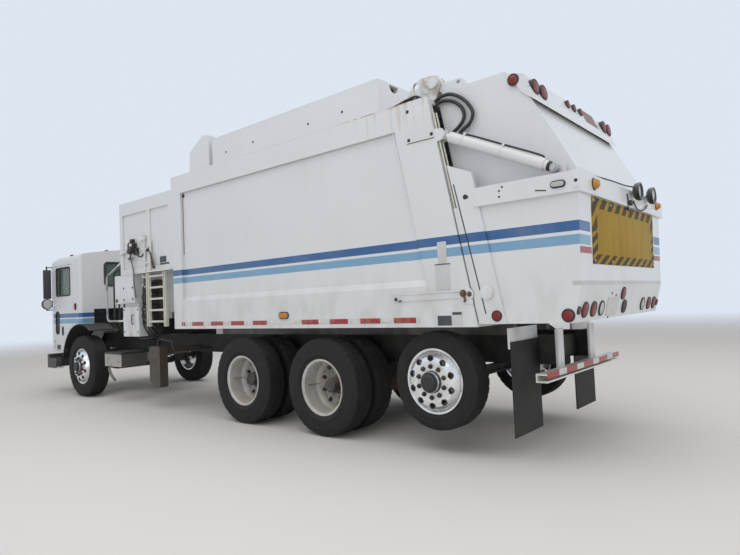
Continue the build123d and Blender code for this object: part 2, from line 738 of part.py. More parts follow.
def roof_box():
    """The gas tank enclosure on the roof and the fairing ahead of it."""
    low = BODY_TOP_Z
    half = ROOF_BOX_HALF_W
    tank = block((ROOF_BOX_REAR_X, ROOF_BOX_FRONT_X), (-half, half), (low, ROOF_BOX_TOP_Z))
    tank = tank - vent(1) - vent(-1)
    fairing = side_plate(
        [
            (FAIRING_REAR_X, low),
            (FAIRING_REAR_X, FAIRING_TOP_Z - 30),
            (FAIRING_PEAK_X, FAIRING_TOP_Z),
            (FAIRING_FRONT_X, FAIRING_TOP_Z - 170),
            (FAIRING_FRONT_X + 30, low),
        ],
        -half,
        half,
    )
    return tank, fairing


write("roof_tank_box", *roof_box())


# Tailgate


def tail_front_x(z):
    """Where the tailgate's slanted front face lies at a height."""
    return body_edge_x(z) - TAIL_GAP


TAIL_CURVE = (
    # X behind the pivot and Z below the top, down the rear of the narrow upper part
    (720, 0),
    (941, 298),
    (1136, 662),
    (1270, 920),
)


def tail_upper(inset):
    """The narrow upper part of the tailgate, or its inside when inset."""
    top = TAIL_TOP_Z - inset
    outline = [(tail_front_x(BEAM_LOW_Z - 40) + 2 * inset, BEAM_LOW_Z - 40)]
    shoulder = top - 120
    outline.append((tail_front_x(shoulder) + 2 * inset, shoulder))
    outline.append((PIVOT_X - 75 + 2 * inset, top))
    outline += [(PIVOT_X - behind + inset, min(TAIL_TOP_Z - below, top)) for behind, below in TAIL_CURVE]
    outline.append((BEAM_REAR_X + 70 + inset, BEAM_LOW_Z - 40))
    half = TAIL_TOP_HALF_W - inset
    return side_plate(outline, -half, half)


def tail_lower(inset):
    """The full-width lower part of the tailgate, or its inside when inset."""
    low = TAIL_LOW_Z + inset
    top = BEAM_LOW_Z + 20
    outline = [
        (tail_front_x(low) + 2 * inset, low),
        (tail_front_x(top) + 2 * inset, top),
        (BEAM_REAR_X + 30 + inset, top),
        (BEAM_REAR_X + 50 + inset, TAIL_LOW_Z + 290),
        (TAIL_LOW_REAR_X + inset, low),
    ]
    half = TAIL_HALF_W - 20 - inset
    return side_plate(outline, -half, half)


ARM_PLATE_HALF_T = 28.0


def tail_arm():
    """The plate that carries the left side of the tailgate from its pivot."""
    plate = side_plate(
        [
            (PIVOT_X + 30, PIVOT_Z + 55),
            (PIVOT_X - 40, PIVOT_Z + 50),
            (PIVOT_X - 70, PIVOT_Z - 18),
            (PIVOT_X - 273, PIVOT_Z - 18),
            (PIVOT_X - 300, PIVOT_Z - 40),
            (PIVOT_X - 314, TAIL_TOP_Z - 10),
            (PIVOT_X - 80, TAIL_TOP_Z - 10),
            (PIVOT_X + 45, PIVOT_Z - 40),
            (PIVOT_X + 60, PIVOT_Z + 10),
        ],
        PIVOT_Y - ARM_PLATE_HALF_T,
        PIVOT_Y + ARM_PLATE_HALF_T,
    )
    plate -= axle_bar(PIVOT_X - 245, PIVOT_Y - 60, PIVOT_Y + 60, PIVOT_Z - 48, 19)
    return plate - axle_bar(PIVOT_X, PIVOT_Y - 60, PIVOT_Y + 60, PIVOT_Z, PIVOT_R + PIN_FIT)


def tail_beam():
    """The left half of the open channel that runs round the tailgate at mid height."""
    low, top, out = BEAM_LOW_Z, BEAM_TOP_Z, BEAM_HALF_W
    side = [
        (TAIL_TOP_HALF_W - 10, low),
        (out, low),
        (out, top),
        (out - BEAM_PLATE, top),
        (out - BEAM_PLATE, low + BEAM_PLATE),
        (TAIL_TOP_HALF_W - 10, low + BEAM_PLATE),
    ]
    return cross_plate(side, BEAM_REAR_X, tail_front_x(top) - POST_W + 10)


def work_lamp(y, z):
    """A round work lamp on a short stem behind the mid beam: a bowl that is open to the rear."""
    x = BEAM_REAR_X
    bowl = [
        (0, -1),
        (16, -1),
        (16, 16),
        (WORK_LAMP_R - 26, 22),
        (WORK_LAMP_R - 6, 40),
        (WORK_LAMP_R, 56),
        (WORK_LAMP_R, WORK_LAMP_REACH),
        (WORK_LAMP_R - 14, WORK_LAMP_REACH),
        (WORK_LAMP_R - 18, WORK_LAMP_REACH - 10),
        (0, WORK_LAMP_REACH - 16),
    ]
    outline = Polyline(*[(radius, 0, out) for radius, out in bowl], close=True)
    return Pos(x, y, z) * Rot(0, -90, 0) * revolve(make_face(outline.edges()), Axis.Z)


POST_W = 260.0
POST_RISE = 250.0
LAMP_BEAM = (
    # X behind the pivot and Z below the tailgate's top, round the end of the lamp beam
    (755, 33),
    (893, 73),
    (1000, 334),
    (862, 224),
)
WORK_LAMPS = (
    # Y, and Z above the mid beam's underside
    (-120, 145),
    (-600, 160),
)


def tailgate():
    """The tailgate: upper and lower parts, mid beam, front posts, top lamp beam and pivot arms."""
    shell = tail_upper(0) + tail_lower(0)
    shell = shell - tail_upper(TAIL_WALL) - tail_lower(TAIL_WALL)
    bar_x = (BEAM_REAR_X, BEAM_REAR_X + 100)
    shell += block(bar_x, (-BEAM_HALF_W, BEAM_HALF_W), (BEAM_LOW_Z, BEAM_TOP_Z))
    for lamp_y, above in WORK_LAMPS:
        shell += work_lamp(lamp_y, BEAM_LOW_Z + above)
    lamp_beam = side_plate(
        [(PIVOT_X - behind, TAIL_TOP_Z - below) for behind, below in LAMP_BEAM],
        -TAIL_TOP_HALF_W - 20,
        TAIL_TOP_HALF_W + 20,
    )
    shell += lamp_beam - tail_upper(TAIL_WALL)
    post_top = BEAM_TOP_Z + POST_RISE
    post = side_plate(
        [
            (tail_front_x(post_top) - 40, post_top),
            (tail_front_x(TAIL_LOW_Z) - 60, TAIL_LOW_Z),
            (tail_front_x(TAIL_LOW_Z) - POST_W, TAIL_LOW_Z),
            (tail_front_x(post_top - 100) - POST_W, post_top - 100),
        ],
        TAIL_HALF_W - 40,
        TAIL_HALF_W,
    )
    hole_x, hole_z = tail_front_x(BEAM_LOW_Z) - 150, BEAM_LOW_Z + 97
    post -= axle_bar(hole_x, TAIL_HALF_W - 60, TAIL_HALF_W + 1, hole_z, 14)
    bracket = side_plate(
        [
            (ROD_EYE[0] + 90, BEAM_LOW_Z + 1),
            (ROD_EYE[0] + 60, ROD_EYE[1] + 40),
            (ROD_EYE[0] - 50, ROD_EYE[1] + 50),
            (ROD_EYE[0] - 90, BEAM_LOW_Z + 1),
        ],
        CYLINDER_Y - EYE_HALF_W - 62,
        CYLINDER_Y - EYE_HALF_W - 36,
    )
    left = post + tail_beam() + tail_arm() + bracket
    return shell + left + mirrored(left)


write("tailgate", tailgate())


# Tailgate lift cylinders

EYE_DISTANCE = hypot(ROD_EYE[0] - BASE_EYE[0], ROD_EYE[1] - BASE_EYE[1])
BARREL_START = 85.0
BARREL_END = EYE_DISTANCE - 55
BORE_START = 170.0
ROD_START = 190.0


def along(distance):
    """A point of the cylinder's centre line, at a distance from its base eye."""
    share = distance / EYE_DISTANCE
    x = BASE_EYE[0] + share * (ROD_EYE[0] - BASE_EYE[0])
    z = BASE_EYE[1] + share * (ROD_EYE[1] - BASE_EYE[1])
    return (x, CYLINDER_Y, z)


def eye(centre, half_w, bore_r):
    """A round eye with a bore for its pin."""
    x, y, z = centre
    ring = axle_bar(x, y - half_w, y + half_w, z, EYE_R)
    return ring - axle_bar(x, y - half_w - 1, y + half_w + 1, z, bore_r)


def cylinder_barrel(side):
    """A barrel with its base eye and end gland."""
    tube = bar(along(BARREL_START), along(BARREL_END - 30), BARREL_R)
    tube += bar(along(EYE_R - 6), along(BARREL_START + 1), EYE_HALF_W - 2)
    tube += bar(along(BARREL_END - 31), along(BARREL_END), BARREL_R - 8)
    tube += eye((BASE_EYE[0], CYLINDER_Y, BASE_EYE[1]), EYE_HALF_W, PIN_R + PIN_FIT)
    tube -= bar(along(BORE_START), along(BARREL_END + 5), ROD_R + PIN_FIT)
    return on_side(tube, side)


def cylinder_rod(side):
    """A rod whose eye carries a short pin towards the tailgate's bracket."""
    rod = bar(along(ROD_START), along(EYE_DISTANCE), ROD_R)
    x, z = ROD_EYE
    rod += axle_bar(x, CYLINDER_Y - EYE_HALF_W, CYLINDER_Y + EYE_HALF_W, z, ROD_EYE_R)
    rod += axle_bar(x, CYLINDER_Y - EYE_HALF_W - 30, CYLINDER_Y + EYE_HALF_W + 10, z, PIN_R)
    return on_side(rod, side)


for side_name, side in SIDES:
    write(f"lift_barrel_{side_name}", cylinder_barrel(side))
    write(f"lift_rod_{side_name}", cylinder_rod(side))


# Cab

ROOF_FRONT_X = CAB_FRONT_X - 170
ROOF_FRONT_Z = CAB_ROOF_Z - 230
SCREEN_LOW_Z = CAB_LOW_Z + 750
FRONT_CORNER_R = 230.0
REAR_CORNER_R = 60.0
ROOF_CORNER_R = 105.0


def cab_side_face(inset):
    """The cab's outline from the side, with the arched roof and, outside, the wheel arch."""
    t = inset
    low, rear, front = CAB_LOW_Z + t, CAB_REAR_X + t, CAB_FRONT_X - t
    roof_rear = (rear, CAB_ROOF_Z + 5 - t)
    roof_mid = (CAB_REAR_X + 500, CAB_ROOF_Z - t)
    roof_front = (ROOF_FRONT_X - t, ROOF_FRONT_Z - t)
    edges = [
        Line(roof_front, (front - 15, SCREEN_LOW_Z)),
        Line((front - 15, SCREEN_LOW_Z), (front, low)),
        ThreePointArc(roof_rear, roof_mid, roof_front),
    ]
    if t == 0:
        arch_front = (FRONT_AXLE_X + sqrt(ARCH_R**2 - (low - ARCH_Z) ** 2), low)
        arch_rear = (rear, ARCH_Z + sqrt(ARCH_R**2 - (rear - FRONT_AXLE_X) ** 2))
        turn = radians(50)
        arch_mid = (FRONT_AXLE_X + ARCH_R * cos(turn), ARCH_Z + ARCH_R * sin(turn))
        edges += [
            Line((front, low), arch_front),
            ThreePointArc(arch_front, arch_mid, arch_rear),
            Line(arch_rear, roof_rear),
        ]
    else:
        floor_z = ARCH_Z + ARCH_R + t
        step_x = FRONT_AXLE_X + ARCH_R + 1.5 * t
        edges += [
            Line((front, low), (step_x, low)),
            Line((step_x, low), (step_x - 340, floor_z)),
            Line((step_x - 340, floor_z), (rear, floor_z)),
            Line((rear, floor_z), roof_rear),
        ]
    return make_face([Plane.XZ * edge for edge in edges])


def cab_form(inset):
    """The cab's rounded block, as the overlap of its outlines from three sides."""
    half = CAB_HALF_W - inset
    side = extrude(cab_side_face(inset), amount=half, both=True)
    top = CAB_ROOF_Z + 50
    front, rear = CAB_FRONT_X - inset, CAB_REAR_X + inset
    plan = block((rear, front), (-half, half), (CAB_LOW_Z - 50, top))
    front_edges = plan.edges().filter_by(Axis.Z).filter_by_position(Axis.X, front - 1, front + 1)
    plan = fillet(front_edges, FRONT_CORNER_R - inset)
    rear_edges = plan.edges().filter_by(Axis.Z).filter_by_position(Axis.X, rear - 1, rear + 1)
    plan = fillet(rear_edges, REAR_CORNER_R - inset)
    end_top = CAB_ROOF_Z - CAB_CROWN - inset
    low = CAB_LOW_Z - 50
    end_edges = [
        Line((-half, low), (half, low)),
        Line((half, low), (half, end_top)),
        ThreePointArc((half, end_top), (0, CAB_ROOF_Z - inset), (-half, end_top)),
        Line((-half, end_top), (-half, low)),
    ]
    end_face = make_face([Plane.YZ * edge for edge in end_edges])
    end = Pos(rear - 50, 0, 0) * extrude(end_face, amount=CAB_LENGTH + 100, dir=(1, 0, 0))
    top_edges = end.edges().filter_by(Axis.X).filter_by_position(Axis.Z, end_top - 1, end_top + 1)
    end = fillet(top_edges, ROOF_CORNER_R - inset)
    return side & plan & end


NOTCH_HALF_W = 900.0
NOTCH_FRONT_X = CAB_REAR_X + 260
TUNNEL_HALF_W = 530.0
TUNNEL_TOP_Z = RAIL_TOP_Z + 50
TUNNEL_FRONT_X = CAB_FRONT_X - 120


def cab_hollow(grow):
    """The engine notch at the rear and the tunnel over the rails, grown by a wall's thickness."""
    rear = CAB_REAR_X - 1
    notch_half = NOTCH_HALF_W + grow
    tunnel_half = TUNNEL_HALF_W + grow
    notch = block((rear, NOTCH_FRONT_X + grow), (-notch_half, notch_half), (0, NOTCH_TOP_Z + grow))
    tunnel = block((rear, TUNNEL_FRONT_X + grow), (-tunnel_half, tunnel_half), (0, TUNNEL_TOP_Z + grow))
    return notch + tunnel


def cab_wall():
    """The whole cab skin before doors and windows are cut, with its raised rear floor and tunnel."""
    outer = cab_form(0) - cab_hollow(0)
    return outer - (cab_form(CAB_WALL) - cab_hollow(CAB_WALL))


def door_prism(grow, y_low, y_high):
    """The door's outline through the side wall, grown by the gap round it."""
    low, top = DOOR_LOW_Z - grow, DOOR_TOP_Z + grow
    rear, front = DOOR_REAR_X - grow, DOOR_FRONT_X + grow
    arch = ARCH_R + 60 - grow
    arch_x = FRONT_AXLE_X + sqrt(arch**2 - (low - ARCH_Z) ** 2)
    arch_z = ARCH_Z + sqrt(arch**2 - (rear - FRONT_AXLE_X) ** 2)
    turn = radians(38)
    mid = (FRONT_AXLE_X + arch * cos(turn), ARCH_Z + arch * sin(turn))
    edges = [
        Line((arch_x, low), (front, low)),
        Line((front, low), (front, top)),
        Line((front, top), (rear, top)),
        Line((rear, top), (rear, arch_z)),
        ThreePointArc((rear, arch_z), mid, (arch_x, low)),
    ]
    face = make_face([Pos(0, y_low, 0) * (Plane.XZ * edge) for edge in edges])
    return extrude(face, amount=y_high - y_low, dir=(0, 1, 0))


DOOR_INNER_Y = CAB_HALF_W - CAB_WALL
DOOR_REACH_Y = CAB_HALF_W + 150
DOOR_WINDOW = ((DOOR_REAR_X + 80, DOOR_FRONT_X - 80), (DOOR_TOP_Z - 550, DOOR_TOP_Z - 40))
PEEP_WINDOW = ((DOOR_FRONT_X - 180, DOOR_FRONT_X - 40), (DOOR_LOW_Z + 300, DOOR_LOW_Z + 710))
PANE_REACH_Y = (CAB_HALF_W - 150, CAB_HALF_W + 50)
SCREEN_HALF_W = CAB_HALF_W - 190
SCREEN_Z = (SCREEN_LOW_Z + 60, CAB_ROOF_Z - 290)
REAR_WINDOW_HALF_W = CAB_HALF_W - 450
REAR_WINDOW_Z = (CAB_ROOF_Z - 670, CAB_ROOF_Z - 250)
GLASS_OUT = 14.0
GLASS_IN = 20.0


def rounded(x, y, z, axis, radius):
    """A block whose four edges along one axis are rounded."""
    piece = block(x, y, z)
    return fillet(piece.edges().filter_by(axis), radius)


def screen_prism():
    return block((CAB_FRONT_X - 300, CAB_FRONT_X + 100), (-SCREEN_HALF_W, SCREEN_HALF_W), SCREEN_Z)


def rear_window_prism():
    reach = (CAB_REAR_X - 50, CAB_REAR_X + 90)
    return rounded(reach, (-REAR_WINDOW_HALF_W, REAR_WINDOW_HALF_W), REAR_WINDOW_Z, Axis.X, 60)


def door_window_prism():
    return rounded(DOOR_WINDOW[0], PANE_REACH_Y, DOOR_WINDOW[1], Axis.Y, 40)


def peep_window_prism():
    return rounded(PEEP_WINDOW[0], PANE_REACH_Y, PEEP_WINDOW[1], Axis.Y, 60)


HINGE_HEIGHTS = (DOOR_LOW_Z + 120, DOOR_LOW_Z + 840)
HINGE_PIN_R = 8.0
KNUCKLE_R = 15.0
HINGE_HALF_H = 35.0


def cab_hinge():
    """The fixed half of one left door hinge at height 0: two lugs and the pin."""
    x, y, reach = DOOR_HINGE_X, DOOR_HINGE_Y, HINGE_HALF_H + 20
    pin = bar((x, y, -reach), (x, y, reach), HINGE_PIN_R)
    inner = HINGE_HALF_H + SEAT_GAP
    half = None
    for low, high in ((-reach, -inner), (inner, reach)):
        lug = bar((x, y, low), (x, y, high), KNUCKLE_R)
        lug += block((x + 2, x + 35), (CAB_HALF_W - 1, y + 6), (low, high))
        half = lug if half is None else half + lug
    return half + pin


def door_hinge():
    """The moving half of one left door hinge at height 0: the knuckle and its strap."""
    x, y = DOOR_HINGE_X, DOOR_HINGE_Y
    height = (-HINGE_HALF_H, HINGE_HALF_H)
    ring = bar((x, y, -HINGE_HALF_H), (x, y, HINGE_HALF_H), KNUCKLE_R)
    strap = block((x - 90, DOOR_FRONT_X - 1), (CAB_HALF_W - 1, CAB_HALF_W + 10), height)
    strap += block((DOOR_FRONT_X - 2, x - 4), (CAB_HALF_W + 1, CAB_HALF_W + 10), height)
    bore = bar((x, y, -HINGE_HALF_H - 1), (x, y, HINGE_HALF_H + 1), HINGE_PIN_R + PIN_FIT)
    return ring + strap - bore


def cab_pivot_ring(y):
    """A ring under the cab's front edge that turns on a pin carried by the bumper."""
    x, z = CAB_PIVOT
    y_low, y_high = y - CAB_RING_HALF_W, y + CAB_RING_HALF_W
    ring = axle_bar(x, y_low, y_high, z, CAB_RING_R)
    ring += block((x - CAB_RING_R, x), (y_low, y_high), (z, CAB_LOW_Z + 1))
    return ring - axle_bar(x, y_low - 1, y_high + 1, z, CAB_PIN_R + PIN_FIT)


def cab_shell():
    """The cab skin with its door ways and windows cut, its pivot rings and the fixed hinges."""
    shell = cab_wall() - screen_prism() - rear_window_prism()
    for ring_y in (CAB_PIVOT_Y, -CAB_PIVOT_Y):
        shell += cab_pivot_ring(ring_y)
    cut = door_prism(DOOR_GAP, DOOR_INNER_Y - DOOR_GAP, DOOR_REACH_Y)
    shell = shell - cut - mirrored(cut)
    for height in HINGE_HEIGHTS:
        hinge = Pos(0, 0, height) * cab_hinge()
        shell += hinge
        shell += mirrored(hinge)
    return shell


def cab_door(side):
    """One door, cut from the same skin, with its window and peep window open."""
    door = cab_wall() & door_prism(0, DOOR_INNER_Y, DOOR_REACH_Y)
    door = door - door_window_prism() - peep_window_prism()
    for height in HINGE_HEIGHTS:
        door += Pos(0, 0, height) * door_hinge()
    return on_side(door, side)


def glass_skin():
    return cab_form(GLASS_OUT) - cab_form(GLASS_IN)


def side_glass(side):
    """The panes of one door."""
    pane_y = (CAB_HALF_W - GLASS_IN, CAB_HALF_W - GLASS_OUT)
    panes = block((DOOR_REAR_X, DOOR_FRONT_X), pane_y, (DOOR_LOW_Z, DOOR_TOP_Z))
    upper = panes & door_window_prism()
    lower = panes & peep_window_prism()
    return [on_side(upper, side), on_side(lower, side)]


write("cab_shell", cab_shell())
write("cab_glass", glass_skin() & screen_prism(), glass_skin() & rear_window_prism())
for side_name, side in SIDES:
    write(f"door_{side_name}", cab_door(side))
    write(f"door_glass_{side_name}", *side_glass(side))


# Cab fittings

SEAT_Y = CAB_HALF_W - 590
SEAT_HALF_W = 250.0
NOTCH_FLOOR_Z = NOTCH_TOP_Z + CAB_WALL


def seat(y):
    """One seat with its base on the raised rear floor."""
    back_x = CAB_REAR_X + CAB_WALL + 15
    base = block((back_x + 20, back_x + 240), (y - 180, y + 180), (NOTCH_FLOOR_Z, NOTCH_FLOOR_Z + 60))
    cushion_y = (y - SEAT_HALF_W, y + SEAT_HALF_W)
    cushion = block((back_x, back_x + 480), cushion_y, (NOTCH_FLOOR_Z + 59, NOTCH_FLOOR_Z + 160))
    back = side_plate(
        [
            (back_x, NOTCH_FLOOR_Z + 150),
            (back_x, NOTCH_FLOOR_Z + 720),
            (back_x + 80, NOTCH_FLOOR_Z + 720),
            (back_x + 130, NOTCH_FLOOR_Z + 150),
        ],
        y - SEAT_HALF_W,
        y + SEAT_HALF_W,
    )
    return base + cushion + back


write("seats", seat(SEAT_Y), seat(-SEAT_Y))

WHEEL_CENTRE = (CAB_FRONT_X - 470, SEAT_Y, CAB_LOW_Z + 910)
COLUMN_FOOT = (CAB_FRONT_X - 220, SEAT_Y, CAB_LOW_Z + 690)


def dashboard():
    """The dash across the front of the cab, with the steering column."""
    front = CAB_FRONT_X - CAB_WALL - 60
    low = CAB_LOW_Z + 430
    dash = side_plate(
        [
            (front - 200, low),
            (front - 250, low + 120),
            (front - 250, low + 260),
            (front - 180, low + 320),
            (front - 20, low + 330),
            (front - 10, low),
        ],
        150 - CAB_HALF_W,
        CAB_HALF_W - 150,
    )
    column = bar(COLUMN_FOOT, WHEEL_CENTRE, 28)
    leg = block((front - 120, front - 30), (-300, 300), (TUNNEL_TOP_Z + CAB_WALL, low + 1))
    return dash + column + leg


WHEEL_R = 225.0
RING_R = 14.0


def steering_wheel():
    """A round wheel with three spokes and a hub cup on the column's end."""
    axis = Vector(*WHEEL_CENTRE) - Vector(*COLUMN_FOOT)
    plane = Plane(origin=WHEEL_CENTRE, z_dir=axis)
    tube = [(WHEEL_R + RING_R * cos(radians(turn)), 0, RING_R * sin(radians(turn))) for turn in range(0, 360, 45)]
    ring = plane * revolve(make_face(Polyline(*tube, close=True).edges()), Axis.Z)
    centre = plane * Pos(0, 0, 12 + SEAT_GAP) * Cylinder(50, 24)
    for turn in (90, 210, 330):
        centre += plane * Rot(0, 0, turn) * Pos(125, 0, 8) * Box(190, 30, 12)
    return ring + centre


write("dashboard", dashboard())
write("steering_wheel", steering_wheel())


def mirror_set():
    """The left mirror: two arms from the pillar, a tall head and a round wide-angle head."""
    head_x, head_y = CAB_FRONT_X - 225, CAB_HALF_W + 95
    stem_x = head_x + 22
    low, top = CAB_ROOF_Z - 1070, CAB_ROOF_Z - 270
    stem = bar((stem_x, head_y, low - 10), (stem_x, head_y, top + 20), 13)
    arm_low = bar((CAB_FRONT_X - 150, CAB_HALF_W - 60, low), (stem_x, head_y, low), 9)
    arm_top = bar((CAB_FRONT_X - 190, CAB_HALF_W - 40, top), (stem_x, head_y, top), 9)
    head = Pos(head_x, head_y, top - 320) * Rot(0, 0, -25) * Box(50, 130, 540)
    round_z = low + 110
    round_head = bar((head_x + 20, head_y + 10, round_z), (head_x - 20, head_y + 2, round_z), 98)
    return stem + arm_low + arm_top + head + round_head - cab_form(0)


write("mirrors", mirror_set(), mirrored(mirror_set()))


def fender():
    """The left wheel arch liner under the cab, open to the side."""
    outer = axle_bar(FRONT_AXLE_X, CAB_HALF_W - 390, CAB_HALF_W + 40, ARCH_Z, ARCH_R - SEAT_GAP)
    inner = axle_bar(FRONT_AXLE_X, CAB_HALF_W - 450, CAB_HALF_W + 150, ARCH_Z, ARCH_R - 16)
    band = outer - inner
    keep = side_plate(
        [
            (FRONT_AXLE_X, ARCH_Z),
            (FRONT_AXLE_X + 1000, ARCH_Z + 120),
            (FRONT_AXLE_X + 1000, ARCH_Z + 1000),
            (FRONT_AXLE_X - 640, ARCH_Z + 1000),
        ],
        CAB_HALF_W - 450,
        CAB_HALF_W + 150,
    )
    return band & keep


write("front_fenders", fender(), mirrored(fender()))


TOW_EYE_Y = 620.0
TOW_EYE_T = 30.0
TOW_EYE_R = 45.0
TOW_BORE_R = 22.0


def tow_eye(y):
    """A flat towing eye that hangs under the bumper."""
    x, z = BUMPER_FRONT_X - 60, BUMPER_LOW_Z - 40
    y_low, y_high = y - TOW_EYE_T / 2, y + TOW_EYE_T / 2
    eye_plate = axle_bar(x, y_low, y_high, z, TOW_EYE_R)
    eye_plate += block((x - TOW_EYE_R, x + TOW_EYE_R), (y_low, y_high), (z, BUMPER_LOW_Z + 1))
    return eye_plate - axle_bar(x, y_low - 1, y_high + 1, z, TOW_BORE_R)


def front_bumper():
    """The bumper across the front, on the ends of the rails."""
    high, low = BUMPER_TOP_Z, BUMPER_LOW_Z
    back_x = BUMPER_FRONT_X - BUMPER_DEPTH
    half = BUMPER_HALF_W
    face = block((back_x, BUMPER_FRONT_X), (-half, half), (low, high))
    corners = face.edges().filter_by(Axis.Z).filter_by_position(Axis.X, BUMPER_FRONT_X - 1, BUMPER_FRONT_X + 1)
    face = fillet(corners, 110)
    for side in (1, -1):
        end_y = tuple(sorted((side * (half - 100), side * half)))
        face += block((RAIL_FRONT_X - 180, back_x + 1), end_y, (low, high - 60))
        horn_y = tuple(sorted((side * 440, side * 500)))
        horn_top = CAB_LOW_Z - 30
        face += block((RAIL_FRONT_X - 140, back_x + 1), horn_y, (low + 60, horn_top))
        face += block((RAIL_FRONT_X - 140, RAIL_FRONT_X), horn_y, (horn_top - 1, RAIL_LOW_Z + 30))
        pad_y = tuple(sorted((side * RAIL_OUT_Y, side * 441)))
        face += block((RAIL_FRONT_X - 140, RAIL_FRONT_X), pad_y, (RAIL_LOW_Z, RAIL_LOW_Z + 30))
        face += tow_eye(side * TOW_EYE_Y)
        x, z = CAB_PIVOT
        inner = side * CAB_PIVOT_Y - CAB_RING_HALF_W - SEAT_GAP
        outer = side * CAB_PIVOT_Y + CAB_RING_HALF_W + SEAT_GAP
        for y_low, y_high in ((inner - 28, inner), (outer, outer + 28)):
            face += axle_bar(x, y_low, y_high, z, CAB_RING_R)
            face += block((x - CAB_RING_R, x + CAB_RING_R), (y_low, y_high), (high - 1, z))
        face += axle_bar(x, inner - 28, outer + 28, z, CAB_PIN_R)
    return face


write("front_bumper", front_bumper())


# Side arm on the right, between the cab and the hopper's sill

FINGER_PIN_OUT = 220.0
GRIP_PLATE = (140.0, 180.0)
SLIDE_HALF_X = 110.0
SLIDE_WALL = 16.0


def slide_housing():
    """The square tube across the frame that the arm's boom runs out of."""
    x = (ARM_X - SLIDE_HALF_X, ARM_X + SLIDE_HALF_X)
    tube = block(x, (-880, 860), (SLIDE_LOW_Z, SLIDE_TOP_Z))
    gap = SLIDE_WALL
    tube -= block((x[0] + gap, x[1] - gap), (-900, 840), (SLIDE_LOW_Z + gap, SLIDE_TOP_Z - gap))
    for side in (1, -1):
        foot_y = tuple(sorted((side * (RAIL_OUT_Y - 80), side * RAIL_OUT_Y)))
        tube += block((x[0] - 60, x[1] + 60), foot_y, (RAIL_TOP_Z, SLIDE_LOW_Z + 1))
    return tube


def slide_boom():
    """The boom inside the housing and the post at its end that carries the arm's pivot."""
    gap = SLIDE_WALL + SEAT_GAP
    x = (ARM_X - SLIDE_HALF_X + gap, ARM_X + SLIDE_HALF_X - gap)
    post_in = -HOPPER_NECK_Y - MOVE_GAP
    beam = block(x, (post_in - 1, 820), (SLIDE_LOW_Z + gap, SLIDE_TOP_Z - gap))
    post_x = (ARM_X - 80, ARM_X + 80)
    post = block(post_x, (post_in - 80, post_in), (SLIDE_LOW_Z + gap, ARM_PIVOT_Z + 90))
    for low in (ARM_X - 150, ARM_X + ARM_W / 2 + 8):
        cheek = cross_plate(
            [
                (post_in - 1, ARM_PIVOT_Z - 200),
                (post_in - 1, ARM_PIVOT_Z + 90),
                (ARM_PIVOT_Y - 30, ARM_PIVOT_Z + 70),
                (ARM_PIVOT_Y - 70, ARM_PIVOT_Z),
                (ARM_PIVOT_Y - 30, ARM_PIVOT_Z - 70),
            ],
            low,
            low + 82,
        )
        post += cheek
    pin = bar((ARM_X - 100, ARM_PIVOT_Y, ARM_PIVOT_Z), (ARM_X + 100, ARM_PIVOT_Y, ARM_PIVOT_Z), 35)
    return beam + post + pin


def lift_arm():
    """The arm that hangs from its pivot and swings out and over the hopper's sill."""
    foot_z = ARM_PIVOT_Z - ARM_LENGTH
    x = (ARM_X - ARM_W / 2, ARM_X + ARM_W / 2)
    arm = cross_plate(
        [
            (ARM_PIVOT_Y + 55, ARM_PIVOT_Z + 30),
            (ARM_PIVOT_Y - 20, ARM_PIVOT_Z + 60),
            (ARM_PIVOT_Y - 70, ARM_PIVOT_Z),
            (ARM_PIVOT_Y - 160, foot_z + 330),
            (ARM_PIVOT_Y - 160, foot_z),
            (ARM_PIVOT_Y - 60, foot_z),
            (ARM_PIVOT_Y - 50, foot_z + 300),
        ],
        x[0],
        x[1],
    )
    plate_y = (ARM_PIVOT_Y - GRIP_PLATE[1], ARM_PIVOT_Y - GRIP_PLATE[0])
    arm += block((ARM_X - 160, ARM_X + 160), plate_y, (foot_z + 10, foot_z + 230))
    arm -= bar((x[0] - 10, ARM_PIVOT_Y, ARM_PIVOT_Z), (x[1] + 10, ARM_PIVOT_Y, ARM_PIVOT_Z), 35 + PIN_FIT)
    for offset in (-125, 125):
        pin_x = ARM_X + offset
        pin_y = ARM_PIVOT_Y - FINGER_PIN_OUT
        for low in (foot_z + 10, foot_z + 200):
            arm += block((pin_x - 30, pin_x + 30), (pin_y - 25, plate_y[0] + 1), (low, low + 30))
        arm += bar((pin_x, pin_y, foot_z + 10), (pin_x, pin_y, foot_z + 230), 14)
    return arm


def finger(direction):
    """One gripping finger, folded flat along the truck: 1 for the front one, -1 for the rear."""
    foot_z = ARM_PIVOT_Z - ARM_LENGTH
    pin_x = ARM_X + direction * 125
    pin_y = ARM_PIVOT_Y - FINGER_PIN_OUT
    low, high = foot_z + 40 + SEAT_GAP, foot_z + 200 - SEAT_GAP
    ring = bar((pin_x, pin_y, low), (pin_x, pin_y, high), 32)
    outline = [
        (pin_x, pin_y + 22),
        (pin_x + direction * 0.55 * FINGER_LENGTH, pin_y + 34),
        (pin_x + direction * FINGER_LENGTH, pin_y - 6),
        (pin_x + direction * FINGER_LENGTH, pin_y - 26),
        (pin_x + direction * 0.55 * FINGER_LENGTH, pin_y + 6),
        (pin_x, pin_y - 22),
    ]
    wire = Polyline(*[(x, y, low + 20) for x, y in outline], close=True)
    blade = extrude(make_face(wire.edges()), amount=high - low - 40, dir=(0, 0, 1))
    return ring + blade - bar((pin_x, pin_y, low - 20), (pin_x, pin_y, high + 20), 14 + PIN_FIT)


write("arm_slide_housing", slide_housing())
write("arm_boom", slide_boom())
write("lift_arm", lift_arm())
write("gripper_front", finger(1))
write("gripper_rear", finger(-1))


# Pieces on the left side between the cab and the body


